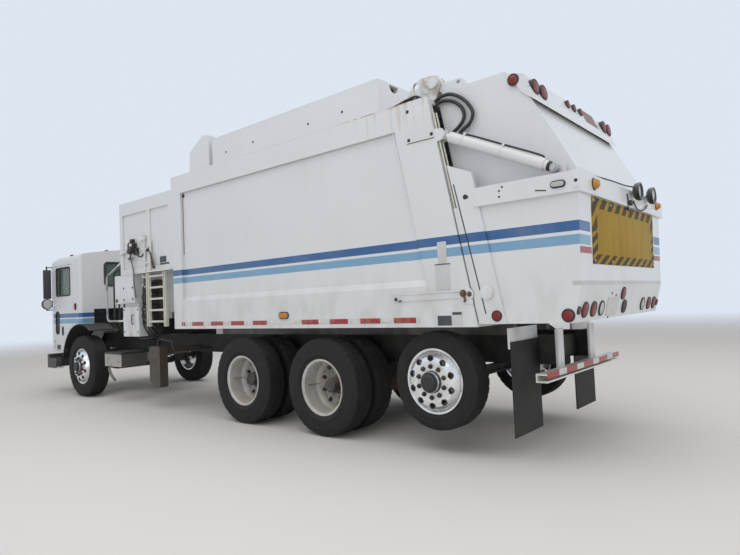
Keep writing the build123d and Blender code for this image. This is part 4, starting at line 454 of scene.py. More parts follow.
# Each finish: the record's slot that it belongs to, the function that makes it and what that is given.
# For paint: name, marks, dirt, the heights between which the dust thins out, tint.
# For coloured: name, colour, roughness, metallic, mottling, grain, height of the grain, dust, worn colour.
# For tape: name, a red field's front end, the step to the next, red share, axis, white gap.
FINISHES = {
    "body_paint": ("body_white", paint, "body_paint", body_marks, 0.75),
    "tail_paint": ("body_white", paint, "tail_paint", tail_marks, 0.55),
    "hopper_paint": ("body_white", paint, "hopper_paint", None, 1.3, 1.4, 2.6),
    "plain_paint": ("body_white", paint, "plain_paint", None, 1.0),
    "cab_paint": ("cab_white", paint, "cab_paint", cab_marks, 0.6, 0.75, 1.4),
    "arm_paint": ("arm_white", paint, "arm_paint", None, 1.8, 0.6, 2.2),
    "ladder_paint": ("body_white", paint, "ladder_paint", None, 1.8, 1.0, 2.4, (0.66, 0.65, 0.57)),
    "side_box_paint": ("body_white", paint, "side_box_paint", side_box_marks, 1.2),
    "cylinder_paint": ("body_white", paint, "cylinder_paint", None, 1.3, 1.2, 2.4),
    # Painted shade: the white bumper is given a dark grey.
    "bumper_paint": (
        "bumper_white", coloured, "bumper_grey", (0.075, 0.075, 0.078), 0.5, 0.1, 0.3, 14.0, 0.15, 0.25,
    ),
    "battery": ("box_grey", battery_metal),
    "fender": (
        "trim_black", coloured, "fender_plastic", (0.010, 0.011, 0.010), 0.55, 0.0, 0.3, 20.0, 0.2, 0.12,
    ),
    # The mirror's glass is a dull near-black plate: a painted reflection.
    "mirror_dull": (
        "trim_black", coloured, "mirror_dull", (0.018, 0.019, 0.020), 0.40, 0.1, 0.2, 12.0, 0.02, 0.06,
    ),
    "blank_plate": (
        "body_white", coloured, "blank_plate", (0.62, 0.63, 0.64), 0.4, 0.0, 0.2, 30.0, 0.03, 0.30,
    ),
    "rusty_iron": (
        "blade_steel", coloured, "rusty_iron", (0.17, 0.105, 0.065), 0.7, 0.2, 0.6, 24.0, 0.3, 0.30, RUST,
    ),
    "grey_plate": (
        "box_grey", coloured, "grey_plate", (0.060, 0.072, 0.080), 0.4, 0.1, 0.3, 30.0, 0.03, 0.15,
    ),
    "steel_wheel_mid": ("wheel_white", steel_wheel, "wheel_white_mid", AXLES["mid"]),
    "steel_wheel_rear": ("wheel_white", steel_wheel, "wheel_white_rear", AXLES["rear"]),
    "bright_wheel_front": ("wheel_aluminium", bright_wheel, "wheel_bright_front", AXLES["front"]),
    "bright_wheel_tag": ("wheel_aluminium", bright_wheel, "wheel_bright_tag", AXLES["tag"]),
    "tyre": ("tyre_rubber", tyre_rubber),
    "flap": (
        "flap_rubber", coloured, "flap_rubber", (0.010, 0.010, 0.010), 0.68, 0.0, 0.5, 14.0, 0.3, 0.13,
    ),
    "axle": (
        "axle_black", coloured, "axle_iron", (0.026, 0.025, 0.024), 0.62, 0.15, 0.5, 16.0, 0.3, 0.26, RUST,
    ),
    "chassis": (
        "frame_black", coloured, "chassis_steel", (0.016, 0.016, 0.016), 0.60, 0.1, 0.5, 12.0, 0.2, 0.14,
    ),
    "engine": ("engine_grey", coloured, "engine_iron", (0.16, 0.16, 0.16), 0.6, 0.3, 0.6, 12.0, 0.3, 0.4),
    "blade": (
        "blade_steel", coloured, "blade_steel", (0.27, 0.25, 0.23), 0.45, 0.7, 0.6, 8.0, 0.2, 0.25, RUST,
    ),
    "chrome": (
        "rod_chrome", coloured, "rod_chrome", (0.50, 0.51, 0.52), 0.26, 0.92, 0.25, 20.0, 0.02, 0.15,
    ),
    "steel": (
        "rod_chrome", coloured, "bright_steel", (0.58, 0.57, 0.55), 0.35, 0.85, 0.35, 40.0, 0.1, 0.25, RUST,
    ),
    "glass": ("cab_glass", clear_glass, "cab_glass_clear", (0.12, 0.19, 0.16), 0.52),
    "vinyl": (
        "seat_vinyl", coloured, "seat_vinyl", (0.055, 0.056, 0.060), 0.48, 0.0, 0.25, 60.0, 0.35, 0.12,
    ),
    "cab_plastic": (
        "cab_plastic", coloured, "cab_plastic", (0.095, 0.095, 0.095), 0.55, 0.0, 0.2, 70.0, 0.3, 0.15,
    ),
    "mirror_black": (
        "mirror_black", coloured, "mirror_plastic", (0.028, 0.028, 0.030), 0.40, 0.0, 0.2, 60.0, 0.15, 0.15,
    ),
    "black": (
        "trim_black", coloured, "fitting_black", (0.030, 0.030, 0.032), 0.48, 0.0, 0.3, 30.0, 0.12, 0.22,
    ),
    "seal": (
        "trim_black", coloured, "window_rubber", (0.020, 0.020, 0.021), 0.6, 0.0, 0.3, 40.0, 0.2, 0.18,
    ),
    "grey_box": (
        "box_grey", coloured, "box_grey", (0.21, 0.21, 0.205), 0.52, 0.15, 0.35, 14.0, 0.15, 0.45, RUST,
    ),
    "valve": (
        "valve_black", coloured, "valve_black", (0.035, 0.034, 0.034), 0.5, 0.3, 0.4, 30.0, 0.2, 0.35, RUST,
    ),
    "hose": (
        "hose_rubber", coloured, "hose_rubber", (0.018, 0.018, 0.019), 0.52, 0.0, 0.25, 80.0, 0.3, 0.16,
    ),
    "red_lens": ("trim_black", lens, "lens_red", (0.20, 0.006, 0.008)),
    "amber_lens": ("trim_black", lens, "lens_amber", (0.50, 0.22, 0.03)),
    "clear_lens": ("rod_chrome", lens, "lens_clear", (0.50, 0.50, 0.49)),
    "board": ("body_white", hazard_board),
    "side_tape": ("body_white", tape, "side_tape", 2.346, 0.4255, 0.61, "x", (0.36, 0.67)),
    "rear_tape": ("body_white", tape, "rear_tape", 0.97, 0.43, 0.60, "y"),
    "red_tape": ("body_white", tape, "red_tape", 9.0, 40.0, 0.99),
    "faded_patch": (
        "body_white", coloured, "faded_patch", (0.27, 0.155, 0.14), 0.5, 0.0, 0.4, 40.0, 0.05, 0.30,
    ),
}
made_finishes = {}


def finish(name):
    """The material of a finish, made on first use."""
    if name not in made_finishes:
        _, make, *given = FINISHES[name]
        made_finishes[name] = make(*given).material
    return made_finishes[name]


# Forms


def smooth_path(points, curl, closed=False):
    """Points along a smooth line that passes through every given point."""
    points = [Vector(point) for point in points]
    if curl < 2:
        return points
    count = len(points)
    spans = count if closed else count - 1
    path = []
    for i in range(spans):
        if closed:
            p = [points[(i + k) % count] for k in (-1, 0, 1, 2)]
        else:
            p = [points[min(max(i + k, 0), count - 1)] for k in (-1, 0, 1, 2)]
        for step in range(curl):
            t = step / curl
            path.append(
                0.5
                * (
                    2 * p[1]
                    + (p[2] - p[0]) * t
                    + (2 * p[0] - 5 * p[1] + 4 * p[2] - p[3]) * t**2
                    + (3 * p[1] - p[0] - 3 * p[2] + p[3]) * t**3
                )
            )
    return path if closed else path + [points[-1]]


def rounded_outline(low, high, radius, steps=5):
    """A rectangle with round corners, as (u, v) points."""
    corners = (
        ((high[0] - radius, high[1] - radius), 0),
        ((low[0] + radius, high[1] - radius), 90),
        ((low[0] + radius, low[1] + radius), 180),
        ((high[0] - radius, low[1] + radius), 270),
    )
    outline = []
    for (u, v), start in corners:
        for step in range(steps + 1):
            angle = math.radians(start + 90 * step / steps)
            outline.append((u + radius * math.cos(angle), v + radius * math.sin(angle)))
    return outline


def set_out(axis, u, v, w):
    """A point from two coordinates across an axis and one along it."""
    return {"X": (w, u, v), "Y": (u, w, v), "Z": (u, v, w)}[axis]


BOX_FACES = [(0, 1, 2, 3), (7, 6, 5, 4), (0, 1, 5, 4), (1, 2, 6, 5), (2, 3, 7, 6), (3, 0, 4, 7)]


class Form:
    """The mesh of one piece, gathered from plain forms in metres from the rear drive axle."""

    def __init__(self):
        self.mesh = bmesh.new()

    def solid(self, points, faces, bevel=0.0):
        """Points joined by faces, with its edges bevelled."""
        verts = [self.mesh.verts.new(point) for point in points]
        made = [self.mesh.faces.new([verts[i] for i in face]) for face in faces]
        if bevel:
            edges = list({edge for face in made for edge in face.edges})
            bmesh.ops.bevel(
                self.mesh,
                geom=edges,
                offset=bevel,
                segments=2,
                profile=0.6,
                affect="EDGES",
                clamp_overlap=True,
            )
        return self

    def prism(self, outline, axis, low, high, bevel=0.002):
        """An outline across an axis, from low to high along it."""
        count = len(outline)
        points = [set_out(axis, u, v, end) for end in (low, high) for u, v in outline]
        faces = [tuple(reversed(range(count))), tuple(range(count, 2 * count))]
        faces += [(i, (i + 1) % count, count + (i + 1) % count, count + i) for i in range(count)]
        return self.solid(points, faces, bevel)

    def slab(self, corners, facing, out, back):
        """A plate over four corners, from back behind them to out before them."""
        points = [corner + facing * out for corner in corners]
        points += [corner - facing * back for corner in corners]
        return self.solid(points, BOX_FACES)

    def block(self, low, high, bevel=0.002):
        """A box between its low and high corners."""
        outline = [(low[0], low[1]), (high[0], low[1]), (high[0], high[1]), (low[0], high[1])]
        return self.prism(outline, "Z", low[2], high[2], bevel)

    def frame(self, axis, low, high, corner, width, near, far):
        """A flat rounded frame: a rectangle across an axis with its middle open."""
        outer = rounded_outline(low, high, corner)
        inner = rounded_outline(
            (low[0] + width, low[1] + width), (high[0] - width, high[1] - width), max(corner - width, 0.004)
        )
        count = len(outer)
        rows = [(outer, near), (outer, far), (inner, far), (inner, near)]
        points = [set_out(axis, u, v, w) for row, w in rows for u, v in row]
        faces = []
        for row in range(4):
            for i in range(count):
                j = (i + 1) % count
                after = (row + 1) % 4
                faces.append((row * count + i, row * count + j, after * count + j, after * count + i))
        return self.solid(points, faces)

    def lathe(self, profile, centre, axis, steps=32, ring=False):
        """A (radius, along) outline turned about an axis through centre; ring closes the outline."""
        axis = Vector(axis).normalized()
        turn = axis.to_track_quat("Z", "X")
        centre = Vector(centre)
        rows = []
        for radius, along in profile:
            if radius < 1e-6:
                rows.append([self.mesh.verts.new(centre + axis * along)])
                continue
            row = []
            for step in range(steps):
                angle = 2 * math.pi * step / steps
                point = Vector((radius * math.cos(angle), radius * math.sin(angle), along))
                row.append(self.mesh.verts.new(centre + turn @ point))
            rows.append(row)
        pairs = list(zip(rows, rows[1:]))
        if ring:
            pairs.append((rows[-1], rows[0]))
        for first, second in pairs:
            for i in range(steps):
                j = (i + 1) % steps
                corners = [first[i % len(first)], first[j % len(first)]]
                corners += [second[j % len(second)], second[i % len(second)]]
                corners = list(dict.fromkeys(corners))
                if len(corners) > 2:
                    self.mesh.faces.new(corners)
        return self

    def bolt(self, centre, axis, radius=0.010, height=0.008):
        """A hexagon head on a washer."""
        washer = [(0, 0), (radius * 1.4, 0), (radius * 1.4, height * 0.2), (0, height * 0.2)]
        head = [(0, 0), (radius, 0), (radius, height * 0.8), (radius * 0.85, height), (0, height)]
        self.lathe(washer, centre, axis, 14)
        return self.lathe(head, centre, axis, 6)

    def disc(self, centre, axis, radius, height, dome=0.0, steps=24):
        """A round button with an optional dome."""
        profile = [(0, 0), (radius, 0), (radius, height * 0.8), (radius * 0.93, height)]
        profile += [(radius * 0.6, height + dome * 0.7), (0, height + dome)]
        return self.lathe(profile, centre, axis, steps)

    def tube(self, points, radius, sides=10, curl=6, closed=False):
        """A round tube along a smooth line through points."""
        path = smooth_path(points, curl, closed)
        last = len(path) - 1
        normal = (path[1] - path[0]).orthogonal().normalized()
        rows = []
        for i, point in enumerate(path):
            if closed:
                ahead = path[(i + 1) % (last + 1)] - path[i - 1]
            else:
                ahead = path[min(i + 1, last)] - path[max(i - 1, 0)]
            ahead.normalize()
            normal = (normal - ahead * normal.dot(ahead)).normalized()
            across = ahead.cross(normal)
            row = []
            for side in range(sides):
                angle = 2 * math.pi * side / sides
                spoke = math.cos(angle) * normal + math.sin(angle) * across
                row.append(self.mesh.verts.new(point + radius * spoke))
            rows.append(row)
        pairs = list(zip(rows, rows[1:]))
        if closed:
            pairs.append((rows[-1], rows[0]))
        for first, second in pairs:
            for i in range(sides):
                j = (i + 1) % sides
                self.mesh.faces.new((first[i], first[j], second[j], second[i]))
        if not closed:
            self.mesh.faces.new(rows[0])
            self.mesh.faces.new(rows[-1])
        return self

    def piece(self, name, body, look, side=1, smooth=32.0):
        """Makes the object, mirrored for the right side, and lets it ride on its body if one is given."""
        verts = self.mesh.verts
        bmesh.ops.translate(self.mesh, verts=verts, vec=(REAR_AXLE_X, 0, 0))
        if side < 0:
            bmesh.ops.scale(self.mesh, verts=verts, vec=(1, -1, 1))
        bmesh.ops.recalc_face_normals(self.mesh, faces=self.mesh.faces)
        data = bpy.data.meshes.new(name)
        self.mesh.to_mesh(data)
        self.mesh.free()
        data.shade_smooth()
        data.set_sharp_from_angle(angle=math.radians(smooth))
        data.materials.append(finish(look))
        made = bpy.data.objects.new(name, data)
        bpy.context.scene.collection.objects.link(made)
        if body:
            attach(made, body)
        return made


def surface(node, start, direction):
    """Where a line from start first meets a node, and the way that spot faces."""
    shift = Vector((REAR_AXLE_X, 0, 0))
    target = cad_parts[node]
    hit, place, normal, _ = target.ray_cast(Vector(start) + shift, Vector(direction).normalized())
    if not hit:
        raise RuntimeError(f"no part of {node} lies ahead of {tuple(start)}")
    return place - shift, normal


def side_surface(node, x, z, side=1):
    """A node's outer face at a spot seen from the side, and the way it faces."""
    return surface(node, (x, SIDE_START * side, z), (0, -side, 0))


def rear_surface(y, z):
    """The tailgate's rear face at a spot seen from behind, and the way it faces."""
    return surface("tailgate", (REAR_START, y, z), (1, 0, 0))


def settings():
    """The truck's settings in this scene."""
    return bpy.context.scene.garbage_truck


# Settings that a user would change


def colour_setting(name, description, default):
    """A setting that holds a colour."""
    options = {"subtype": "COLOR", "size": 3, "min": 0, "max": 1}
    return FloatVectorProperty(name=name, description=description, default=default, **options)


def number_setting(name, description, default, **options):
    """A setting that holds a number."""
    return FloatProperty(name=name, description=description, default=default, **options)


def length_setting(name, description, default):
    """A setting that holds a length in metres."""
    return number_setting(name, description, default, unit="LENGTH", min=0)


class PaintSettings(bpy.types.PropertyGroup):
    """Colours of the truck and the dirt on them."""

    white: colour_setting("White", "Paint of cab, body and tailgate", (0.725, 0.745, 0.77))
    dark_stripe: colour_setting("Dark stripe", "Upper stripe on body and cab", (0.020, 0.105, 0.29))
    light_stripe: colour_setting("Light stripe", "Lower stripe on body and cab", (0.18, 0.36, 0.55))
    hazard: colour_setting("Hazard yellow", "Ground colour of the rear board", (0.37, 0.230, 0.016))
    # Grime also sets how strong the painted shade in the paint's corners is.
    grime: number_setting("Grime", "How much dirt lies on the paint", 1.0, min=0, max=1.5)


class TyreSettings(bpy.types.PropertyGroup):
    """Tread of all tyres."""

    groove_depth: length_setting("Groove depth", "Depth of the grooves round the tread", 0.012)
    groove_half: length_setting("Groove half width", "Half the width of a groove", 0.0055)
    notch_depth: length_setting("Notch depth", "Depth of the cuts across the ribs", 0.007)
    steps: IntProperty(name="Steps", description="Mesh steps round a tyre", min=48, max=360, default=180)


class FittingSettings(bpy.types.PropertyGroup):
    """Sizes of nuts and seals."""

    nut_radius: length_setting("Nut radius", "Wheel nut, across its corners", 0.0165)
    nut_circle: length_setting("Nut circle radius", "Circle that the wheel nuts stand on", 0.1425)
    seal_radius: length_setting("Seal radius", "Rubber bead round a window", 0.013)


class StageSettings(bpy.types.PropertyGroup):
    """Camera, floor and light."""

    lens: number_setting("Lens", "Focal length on a 36 mm frame", 27.63, unit="CAMERA")
    floor: colour_setting("Floor", "Colour of the floor", (0.76, 0.74, 0.71))
    backdrop: colour_setting("Backdrop", "Colour behind the truck", (0.72, 0.79, 0.88))
    sky: number_setting("Sky", "Strength of the even light from all round", 0.50, min=0)
    key: number_setting("Key", "Power of the large lamp overhead, in watts", 650.0, min=0)


class TruckSettings(bpy.types.PropertyGroup):
    """All settings of the garbage truck."""

    paint: PointerProperty(type=PaintSettings, name="Paint", description="Colours and dirt")
    tyres: PointerProperty(type=TyreSettings, name="Tyres", description="Tread of all tyres")
    fittings: PointerProperty(type=FittingSettings, name="Fittings", description="Nuts and seals")
    stage: PointerProperty(type=StageSettings, name="Stage", description="Camera, floor and light")


# Operators, one for each piece or group of like pieces

NODE_FINISHES = {
    # node, without the side in its name: finish
    "body_shell": "body_paint",
    "tailgate": "tail_paint",
    "hopper": "hopper_paint",
    "roof_tank_box": "plain_paint",
    "cab_shell": "cab_paint",
    "door": "cab_paint",
    "cab_glass": "glass",
    "door_glass": "glass",
    "front_bumper": "bumper_paint",
    "front_fenders": "fender",
    "front_axle": "axle",
    "drive_axles": "axle",
    "tag_axle": "axle",
    "springs": "axle",
    "knuckle_front": "axle",
    "knuckle_tag": "axle",
    "chassis_frame": "chassis",
    "engine_block": "engine",
    "packer_blade": "blade",
    "lift_barrel": "cylinder_paint",
    "lift_rod": "chrome",
    "arm_slide_housing": "chassis",
    "arm_boom": "arm_paint",
    "lift_arm": "arm_paint",
    "gripper_front": "arm_paint",
    "gripper_rear": "arm_paint",
    "seats": "vinyl",
    "dashboard": "cab_plastic",
    "steering_wheel": "cab_plastic",
    "mirrors": "mirror_black",
    "ladder": "ladder_paint",
    "side_boxes": "side_box_paint",
    "battery_box": "battery",
    "valve_bank": "valve",
    "service_hoses": "hose",
    "mudflaps": "flap",
    "flap_hangers": "plain_paint",
    "rear_guard": "plain_paint",
    "rim_front": "bright_wheel_front",
    "rim_tag": "bright_wheel_tag",
    "rims_mid": "steel_wheel_mid",
    "rims_rear": "steel_wheel_rear",
    "tyre_front": "tyre",
    "tyre_tag": "tyre",
    "tyres_mid": "tyre",
    "tyres_rear": "tyre",
}


class TRUCK_OT_finish_nodes(bpy.types.Operator):
    """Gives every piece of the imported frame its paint, rubber, glass or metal."""

    bl_idname = "truck.finish_nodes"
    bl_label = "Finish the frame's pieces"

    def execute(self, context):
        for name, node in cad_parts.items():
            look = finish(NODE_FINISHES[name.removesuffix("_left").removesuffix("_right")])
            if not node.material_slots:
                node.data.materials.append(look)
            for slot in node.material_slots:
                slot.material = look
        return {"FINISHED"}


WHEELS = (
    # axle, tyre node, rim node, tyre radius, tyre width, tyre middles, disc face y, cap end y
    ("front", "tyre_front_", "rim_front_", 0.525, 0.290, (1.035,), 1.205, 1.269),
    ("mid", "tyres_mid_", "rims_mid_", 0.525, 0.280, (1.06, 0.715), 0.903, 1.059),
    ("rear", "tyres_rear_", "rims_rear_", 0.525, 0.280, (1.06, 0.715), 0.903, 1.059),
    ("tag", "tyre_tag_", "rim_tag_", 0.460, 0.255, (0.99,), 1.160, 1.224),
)
RIM_EDGE = 0.308
BEAD_RADIUS = 0.2868
BEAD_HALF = 0.1030
# Middles of the grooves, out from the tread's own.
RIB_GROOVES = (0.022, 0.062)
# Mesh steps from one cut to the next, and between the cuts of a tyre's two halves.
PITCH = 5
STAGGER = 2
WHEEL_HOLES = 10
HAND_HOLE_CIRCLE = 0.215
HUB_BOLTS = 8
HUB_BOLT_CIRCLE = 0.055


def wheel_body(name, side_name):
    """The body that a wheel turns with."""
    return f"wheels_{name}_{side_name}" if name in ("mid", "rear") else f"wheel_{name}_{side_name}"


def tyre_rings(radius, width):
    """(radius, outward, notch) rings over a tyre's outer half, from its bead to its middle groove."""
    look = settings().tyres
    half = width / 2
    wall = radius - RIM_EDGE
    rings = [
        (BEAD_RADIUS, BEAD_HALF - 0.004, 0),
        (RIM_EDGE, BEAD_HALF, 0),
        (RIM_EDGE + 0.004, BEAD_HALF + 0.010, 0),
        (RIM_EDGE + 0.10 * wall, half - 0.014, 0),
        (RIM_EDGE + 0.17 * wall, half - 0.006, 0),
        (RIM_EDGE + 0.19 * wall, half - 0.002, 0),
        (RIM_EDGE + 0.22 * wall, half - 0.002, 0),
        (RIM_EDGE + 0.24 * wall, half - 0.004, 0),
        (RIM_EDGE + 0.40 * wall, half - 0.003, 0),
        (RIM_EDGE + 0.56 * wall, half - 0.005, 0),
        (RIM_EDGE + 0.58 * wall, half - 0.003, 0),
        (RIM_EDGE + 0.61 * wall, half - 0.004, 0),
        (RIM_EDGE + 0.63 * wall, half - 0.007, 0),
        (RIM_EDGE + 0.76 * wall, half - 0.010, 0),
        (RIM_EDGE + 0.85 * wall, half - 0.016, 0.6),
        (radius - 0.011, half - 0.021, 1.0),
        (radius - 0.005, half - 0.034, 1.0),
        (radius - 0.001, half - 0.056, 0.5),
    ]
    for middle in reversed(RIB_GROOVES):
        crown = radius - 0.0015 * (middle / 0.06) ** 2
        outer, inner = middle + look.groove_half, middle - look.groove_half
        rings += [(crown, outer + 0.009, 0.0), (crown, outer, 0.7)]
        floor = crown - look.groove_depth
        rings += [(floor, outer - 0.002, 0), (floor, inner + 0.002, 0)]
        rings += [(crown, inner, 0.7), (crown, inner - 0.007, 0.0)]
    return rings


def tyre(form, x, y, z, radius, width):
    """One tyre with ribs, grooves and cuts across the ribs' edges."""
    look = settings().tyres
    outer = tyre_rings(radius, width)
    rings = outer + [(r, -w, notch) for r, w, notch in reversed(outer)]
    steps = look.steps
    rows = []
    for r, w, notch in rings:
        row = []
        for step in range(steps):
            shift = STAGGER if w < 0 else 0
            cut = look.notch_depth * notch if (step + shift) % PITCH == 0 else 0.0
            angle = 2 * math.pi * step / steps
            reach = r - cut
            row.append(form.mesh.verts.new((x + reach * math.cos(angle), y + w, z + reach * math.sin(angle))))
        rows.append(row)
    rows.append(rows[0])
    for first, second in zip(rows, rows[1:]):
        for i in range(steps):
            j = (i + 1) % steps
            form.mesh.faces.new((first[i], first[j], second[j], second[i]))


class TRUCK_OT_tyres(bpy.types.Operator):
    """Builds the treaded tyres in place of the frame's plain ones."""

    bl_idname = "truck.tyres"
    bl_label = "Tyres"

    def execute(self, context):
        for name, tyre_node, _, radius, width, middles, _, _ in WHEELS:
            x, z = AXLES[name]
            for side_name, side in SIDES:
                form = Form()
                for middle in middles:
                    tyre(form, x, middle, z, radius, width)
                body = wheel_body(name, side_name)
                made = form.piece(f"tread_{name}_{side_name}", body, "tyre", side, 28.0)
                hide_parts(tyre_node + side_name)
        return {"FINISHED"}


def round_spot(x, z, radius, angle, y):
    """A point on a circle round a wheel's axle."""
    return (x + radius * math.cos(angle), y, z + radius * math.sin(angle))


class TRUCK_OT_wheel_nuts(bpy.types.Operator):
    """Adds nuts, hub bolts, hub rings, hand hole edges and valve stems to the wheels."""

    bl_idname = "truck.wheel_nuts"
    bl_label = "Wheel nuts and hubs"

    def execute(self, context):
        look = settings().fittings
        turns = [math.radians(360 / WHEEL_HOLES * (turn + 0.5)) for turn in range(WHEEL_HOLES)]
        for name, _, rim_node, _, _, middles, face, cap in WHEELS:
            x, z = AXLES[name]
            bright = name in ("front", "tag")
            for side_name, side in SIDES:
                body = wheel_body(name, side_name)
                nuts = Form()
                for angle in turns:
                    spot = round_spot(x, z, look.nut_circle, angle, face)
                    nuts.bolt(spot, (0, 1, 0), look.nut_radius, 0.024)
                    stud = round_spot(x, z, look.nut_circle, angle, face + 0.023)
                    nuts.disc(stud, (0, 1, 0), 0.0095, 0.010, 0.002, 10)
                nuts.piece(f"nuts_{name}_{side_name}", body, "axle" if bright else "steel", side)
                hub = Form()
                for turn in range(HUB_BOLTS):
                    angle = math.radians(360 / HUB_BOLTS * turn)
                    spot = round_spot(x, z, HUB_BOLT_CIRCLE, angle, cap - 0.008)
                    hub.bolt(spot, (0, 1, 0), 0.009, 0.012)
                ring = [(0.094, 0.0), (0.104, 0.0), (0.104, 0.012), (0.100, 0.016), (0.094, 0.016)]
                hub.lathe(ring, (x, face, z), (0, 1, 0), 48, True)
                for angle in turns if bright else ():
                    beside = round_spot(x, z, HAND_HOLE_CIRCLE, angle + 0.16, 0)
                    spot, _ = side_surface(rim_node + "left", beside[0], beside[2])
                    edge = [(0.0240, -0.030), (0.0330, -0.003), (0.0330, 0.0025), (0.0240, 0.0025)]
                    hub.lathe(edge, round_spot(x, z, HAND_HOLE_CIRCLE, angle, spot.y), (0, 1, 0), 24, True)
                hub.piece(f"hub_{name}_{side_name}", body, "black", side)
                stem = Form()
                reach = middles[0] + (0.085 if len(middles) == 1 else 0.06)
                stem.tube([(x + 0.245, face - 0.02, z), (x + 0.262, reach, z)], 0.005, 8, 1)
                stem.piece(f"valve_stem_{name}_{side_name}", body, "steel", side)
        return {"FINISHED"}


def round_lamp(lenses, rings, spot, facing, radius, dome=0.006, root=0.004):
    """A round lens in a rubber ring on the surface that carries it; root is how far the ring reaches back."""
    rim = radius * 1.24
    outline = [(radius * 0.96, -root), (rim, -root), (rim, 0.006)]
    outline += [(rim * 0.95, 0.011), (radius * 1.02, 0.011)]
    rings.lathe(outline, spot, facing, 32, True)
    lenses.disc(spot, facing, radius, 0.010, dome, 32)


def bar_lamp(lenses, rings, spot, facing, half_long, half_high):
    """A long oval lamp across the truck's rear."""
    turn = Vector(facing).to_track_quat("Z", "Y")
    for form, grow, height in ((rings, 0.010, 0.010), (lenses, 0.0, 0.020)):
        low = (-half_long - grow, -half_high - grow)
        high = (half_long + grow, half_high + grow)
        outline = rounded_outline(low, high, min(half_long, half_high) + grow - 0.001)
        start = len(form.mesh.verts)
        form.prism(outline, "Z", -0.004, height, 0.002)
        form.mesh.verts.ensure_lookup_table()
        for vert in form.mesh.verts[start:]:
            vert.co = Vector(spot) + turn @ vert.co


LOW_LAMPS = (
    # lens, y, z, radius
    ("red_lens", 1.036, 1.285, 0.053),
    ("red_lens", 0.841, 1.285, 0.053),
    ("clear_lens", 0.645, 1.285, 0.053),
    ("clear_lens", -0.604, 1.285, 0.053),
    ("red_lens", -0.832, 1.285, 0.053),
    ("red_lens", -1.033, 1.285, 0.053),
    ("red_lens", 0.104, 1.400, 0.048),
    ("red_lens", 1.168, 1.285, 0.027),
    ("red_lens", -1.160, 1.285, 0.027),
)
BEAM_LAMPS = (
    # y, z, radius
    (0.992, 3.160, 0.055),
    (0.835, 3.150, 0.055),
    (-0.835, 3.205, 0.055),
    (-0.985, 3.200, 0.055),
    (0.181, 3.215, 0.032),
    (0.017, 3.215, 0.032),
    (-0.165, 3.218, 0.032),
)
AMBER_DOMES = ((0.935, 2.275, 0.043), (-1.000, 2.295, 0.036))
WORK_LAMPS = ((-0.12, 2.335), (-0.60, 2.350))
WORK_LAMP_WIRES = (
    # mesh steps between points, points
    (4, [(-2.885, 0.90, 2.352), (-2.905, 0.50, 2.362), (-2.908, 0.10, 2.372), (-2.915, -0.10, 2.385)]),
    (5, [(-2.915, -0.12, 2.255), (-2.912, -0.06, 2.215), (-2.909, 0.02, 2.222), (-2.908, 0.06, 2.300)]),
    (5, [(-2.912, -0.60, 2.262), (-2.912, -0.45, 2.200), (-2.909, -0.25, 2.190), (-2.912, -0.12, 2.250)]),
)
PLUG_WIRE = [(-2.908, 0.04, 2.230), (-2.895, 0.02, 2.185), (-2.880, -0.05, 2.165), (-2.872, -0.12, 2.175)]
SIDE_LAMPS = (
    # x, z, radius
    (-2.739, 1.249, 0.043),
    (-2.146, 1.257, 0.038),
    (-2.326, 3.250, 0.042),
)
# The lamps on the beam face straight back, though the beam slopes.
UPRIGHT = Vector((-0.995, 0, 0.10)).normalized()


class TRUCK_OT_rear_lamps(bpy.types.Operator):
    """Builds the lamps on the tailgate's rear face, lamp beam, mid beam and sides."""

    bl_idname = "truck.rear_lamps"
    bl_label = "Rear lamps"

    def execute(self, context):
        forms = {"red_lens": Form(), "clear_lens": Form(), "amber_lens": Form()}
        rings = Form()
        for colour, y, z, radius in LOW_LAMPS:
            spot, facing = rear_surface(y, z)
            round_lamp(forms[colour], rings, spot, facing, radius)
        for y, z, radius in BEAM_LAMPS:
            middle = rear_surface(y, z)[0] + UPRIGHT * 0.3 * radius
            round_lamp(forms["red_lens"], rings, middle, UPRIGHT, radius, 0.008, 0.75 * radius)
        for y, z, radius in AMBER_DOMES:
            spot, facing = rear_surface(y, z)
            dome = [(radius, 0.0), (radius, 0.012), (radius * 0.88, 0.030)]
            dome += [(radius * 0.55, 0.044), (0, 0.050)]
            forms["amber_lens"].lathe(dome, spot, facing, 32)
            foot = [(0, -0.002), (radius * 1.15, -0.002), (radius * 1.15, 0.006), (0, 0.006)]
            rings.lathe(foot, spot, facing, 32)
        dark = Form()
        spot, facing = rear_surface(0.012, 1.280)
        round_lamp(dark, rings, spot, facing, 0.052)
        for y, z in WORK_LAMPS:
            spot, facing = rear_surface(y, z)
            forms["clear_lens"].disc(spot, facing, 0.060, 0.004, 0.004, 28)
        for side in (1, -1):
            for x, z, radius in SIDE_LAMPS:
                spot, facing = side_surface("tailgate", x, z, side)
                round_lamp(forms["red_lens"], rings, spot, facing, radius)
            spot, facing = side_surface("tailgate", -2.732, 2.262, side)
            bar_lamp(forms["clear_lens"], rings, spot, facing, 0.050, 0.019)
        for colour, form in forms.items():
            form.piece(f"tail_{colour}", "tailgate", colour)
        dark.piece("tail_dark_lens", "tailgate", "black")
        rings.piece("tail_lamp_rings", "tailgate", "seal")
        wires = Form()
        for curl, course in WORK_LAMP_WIRES:
            wires.tube(course, 0.006, 6, curl)
        wires.tube(PLUG_WIRE, 0.008, 6, 5)
        wires.disc((-2.906, -0.02, 2.225), (-1, 0, 0), 0.028, 0.018, 0.004, 14)
        wires.piece("work_lamp_wires", "tailgate", "hose")
        return {"FINISHED"}


BOARD_HALF = 0.93
BOARD_LOW_Z = 1.645
BOARD_HIGH_Z = 2.185


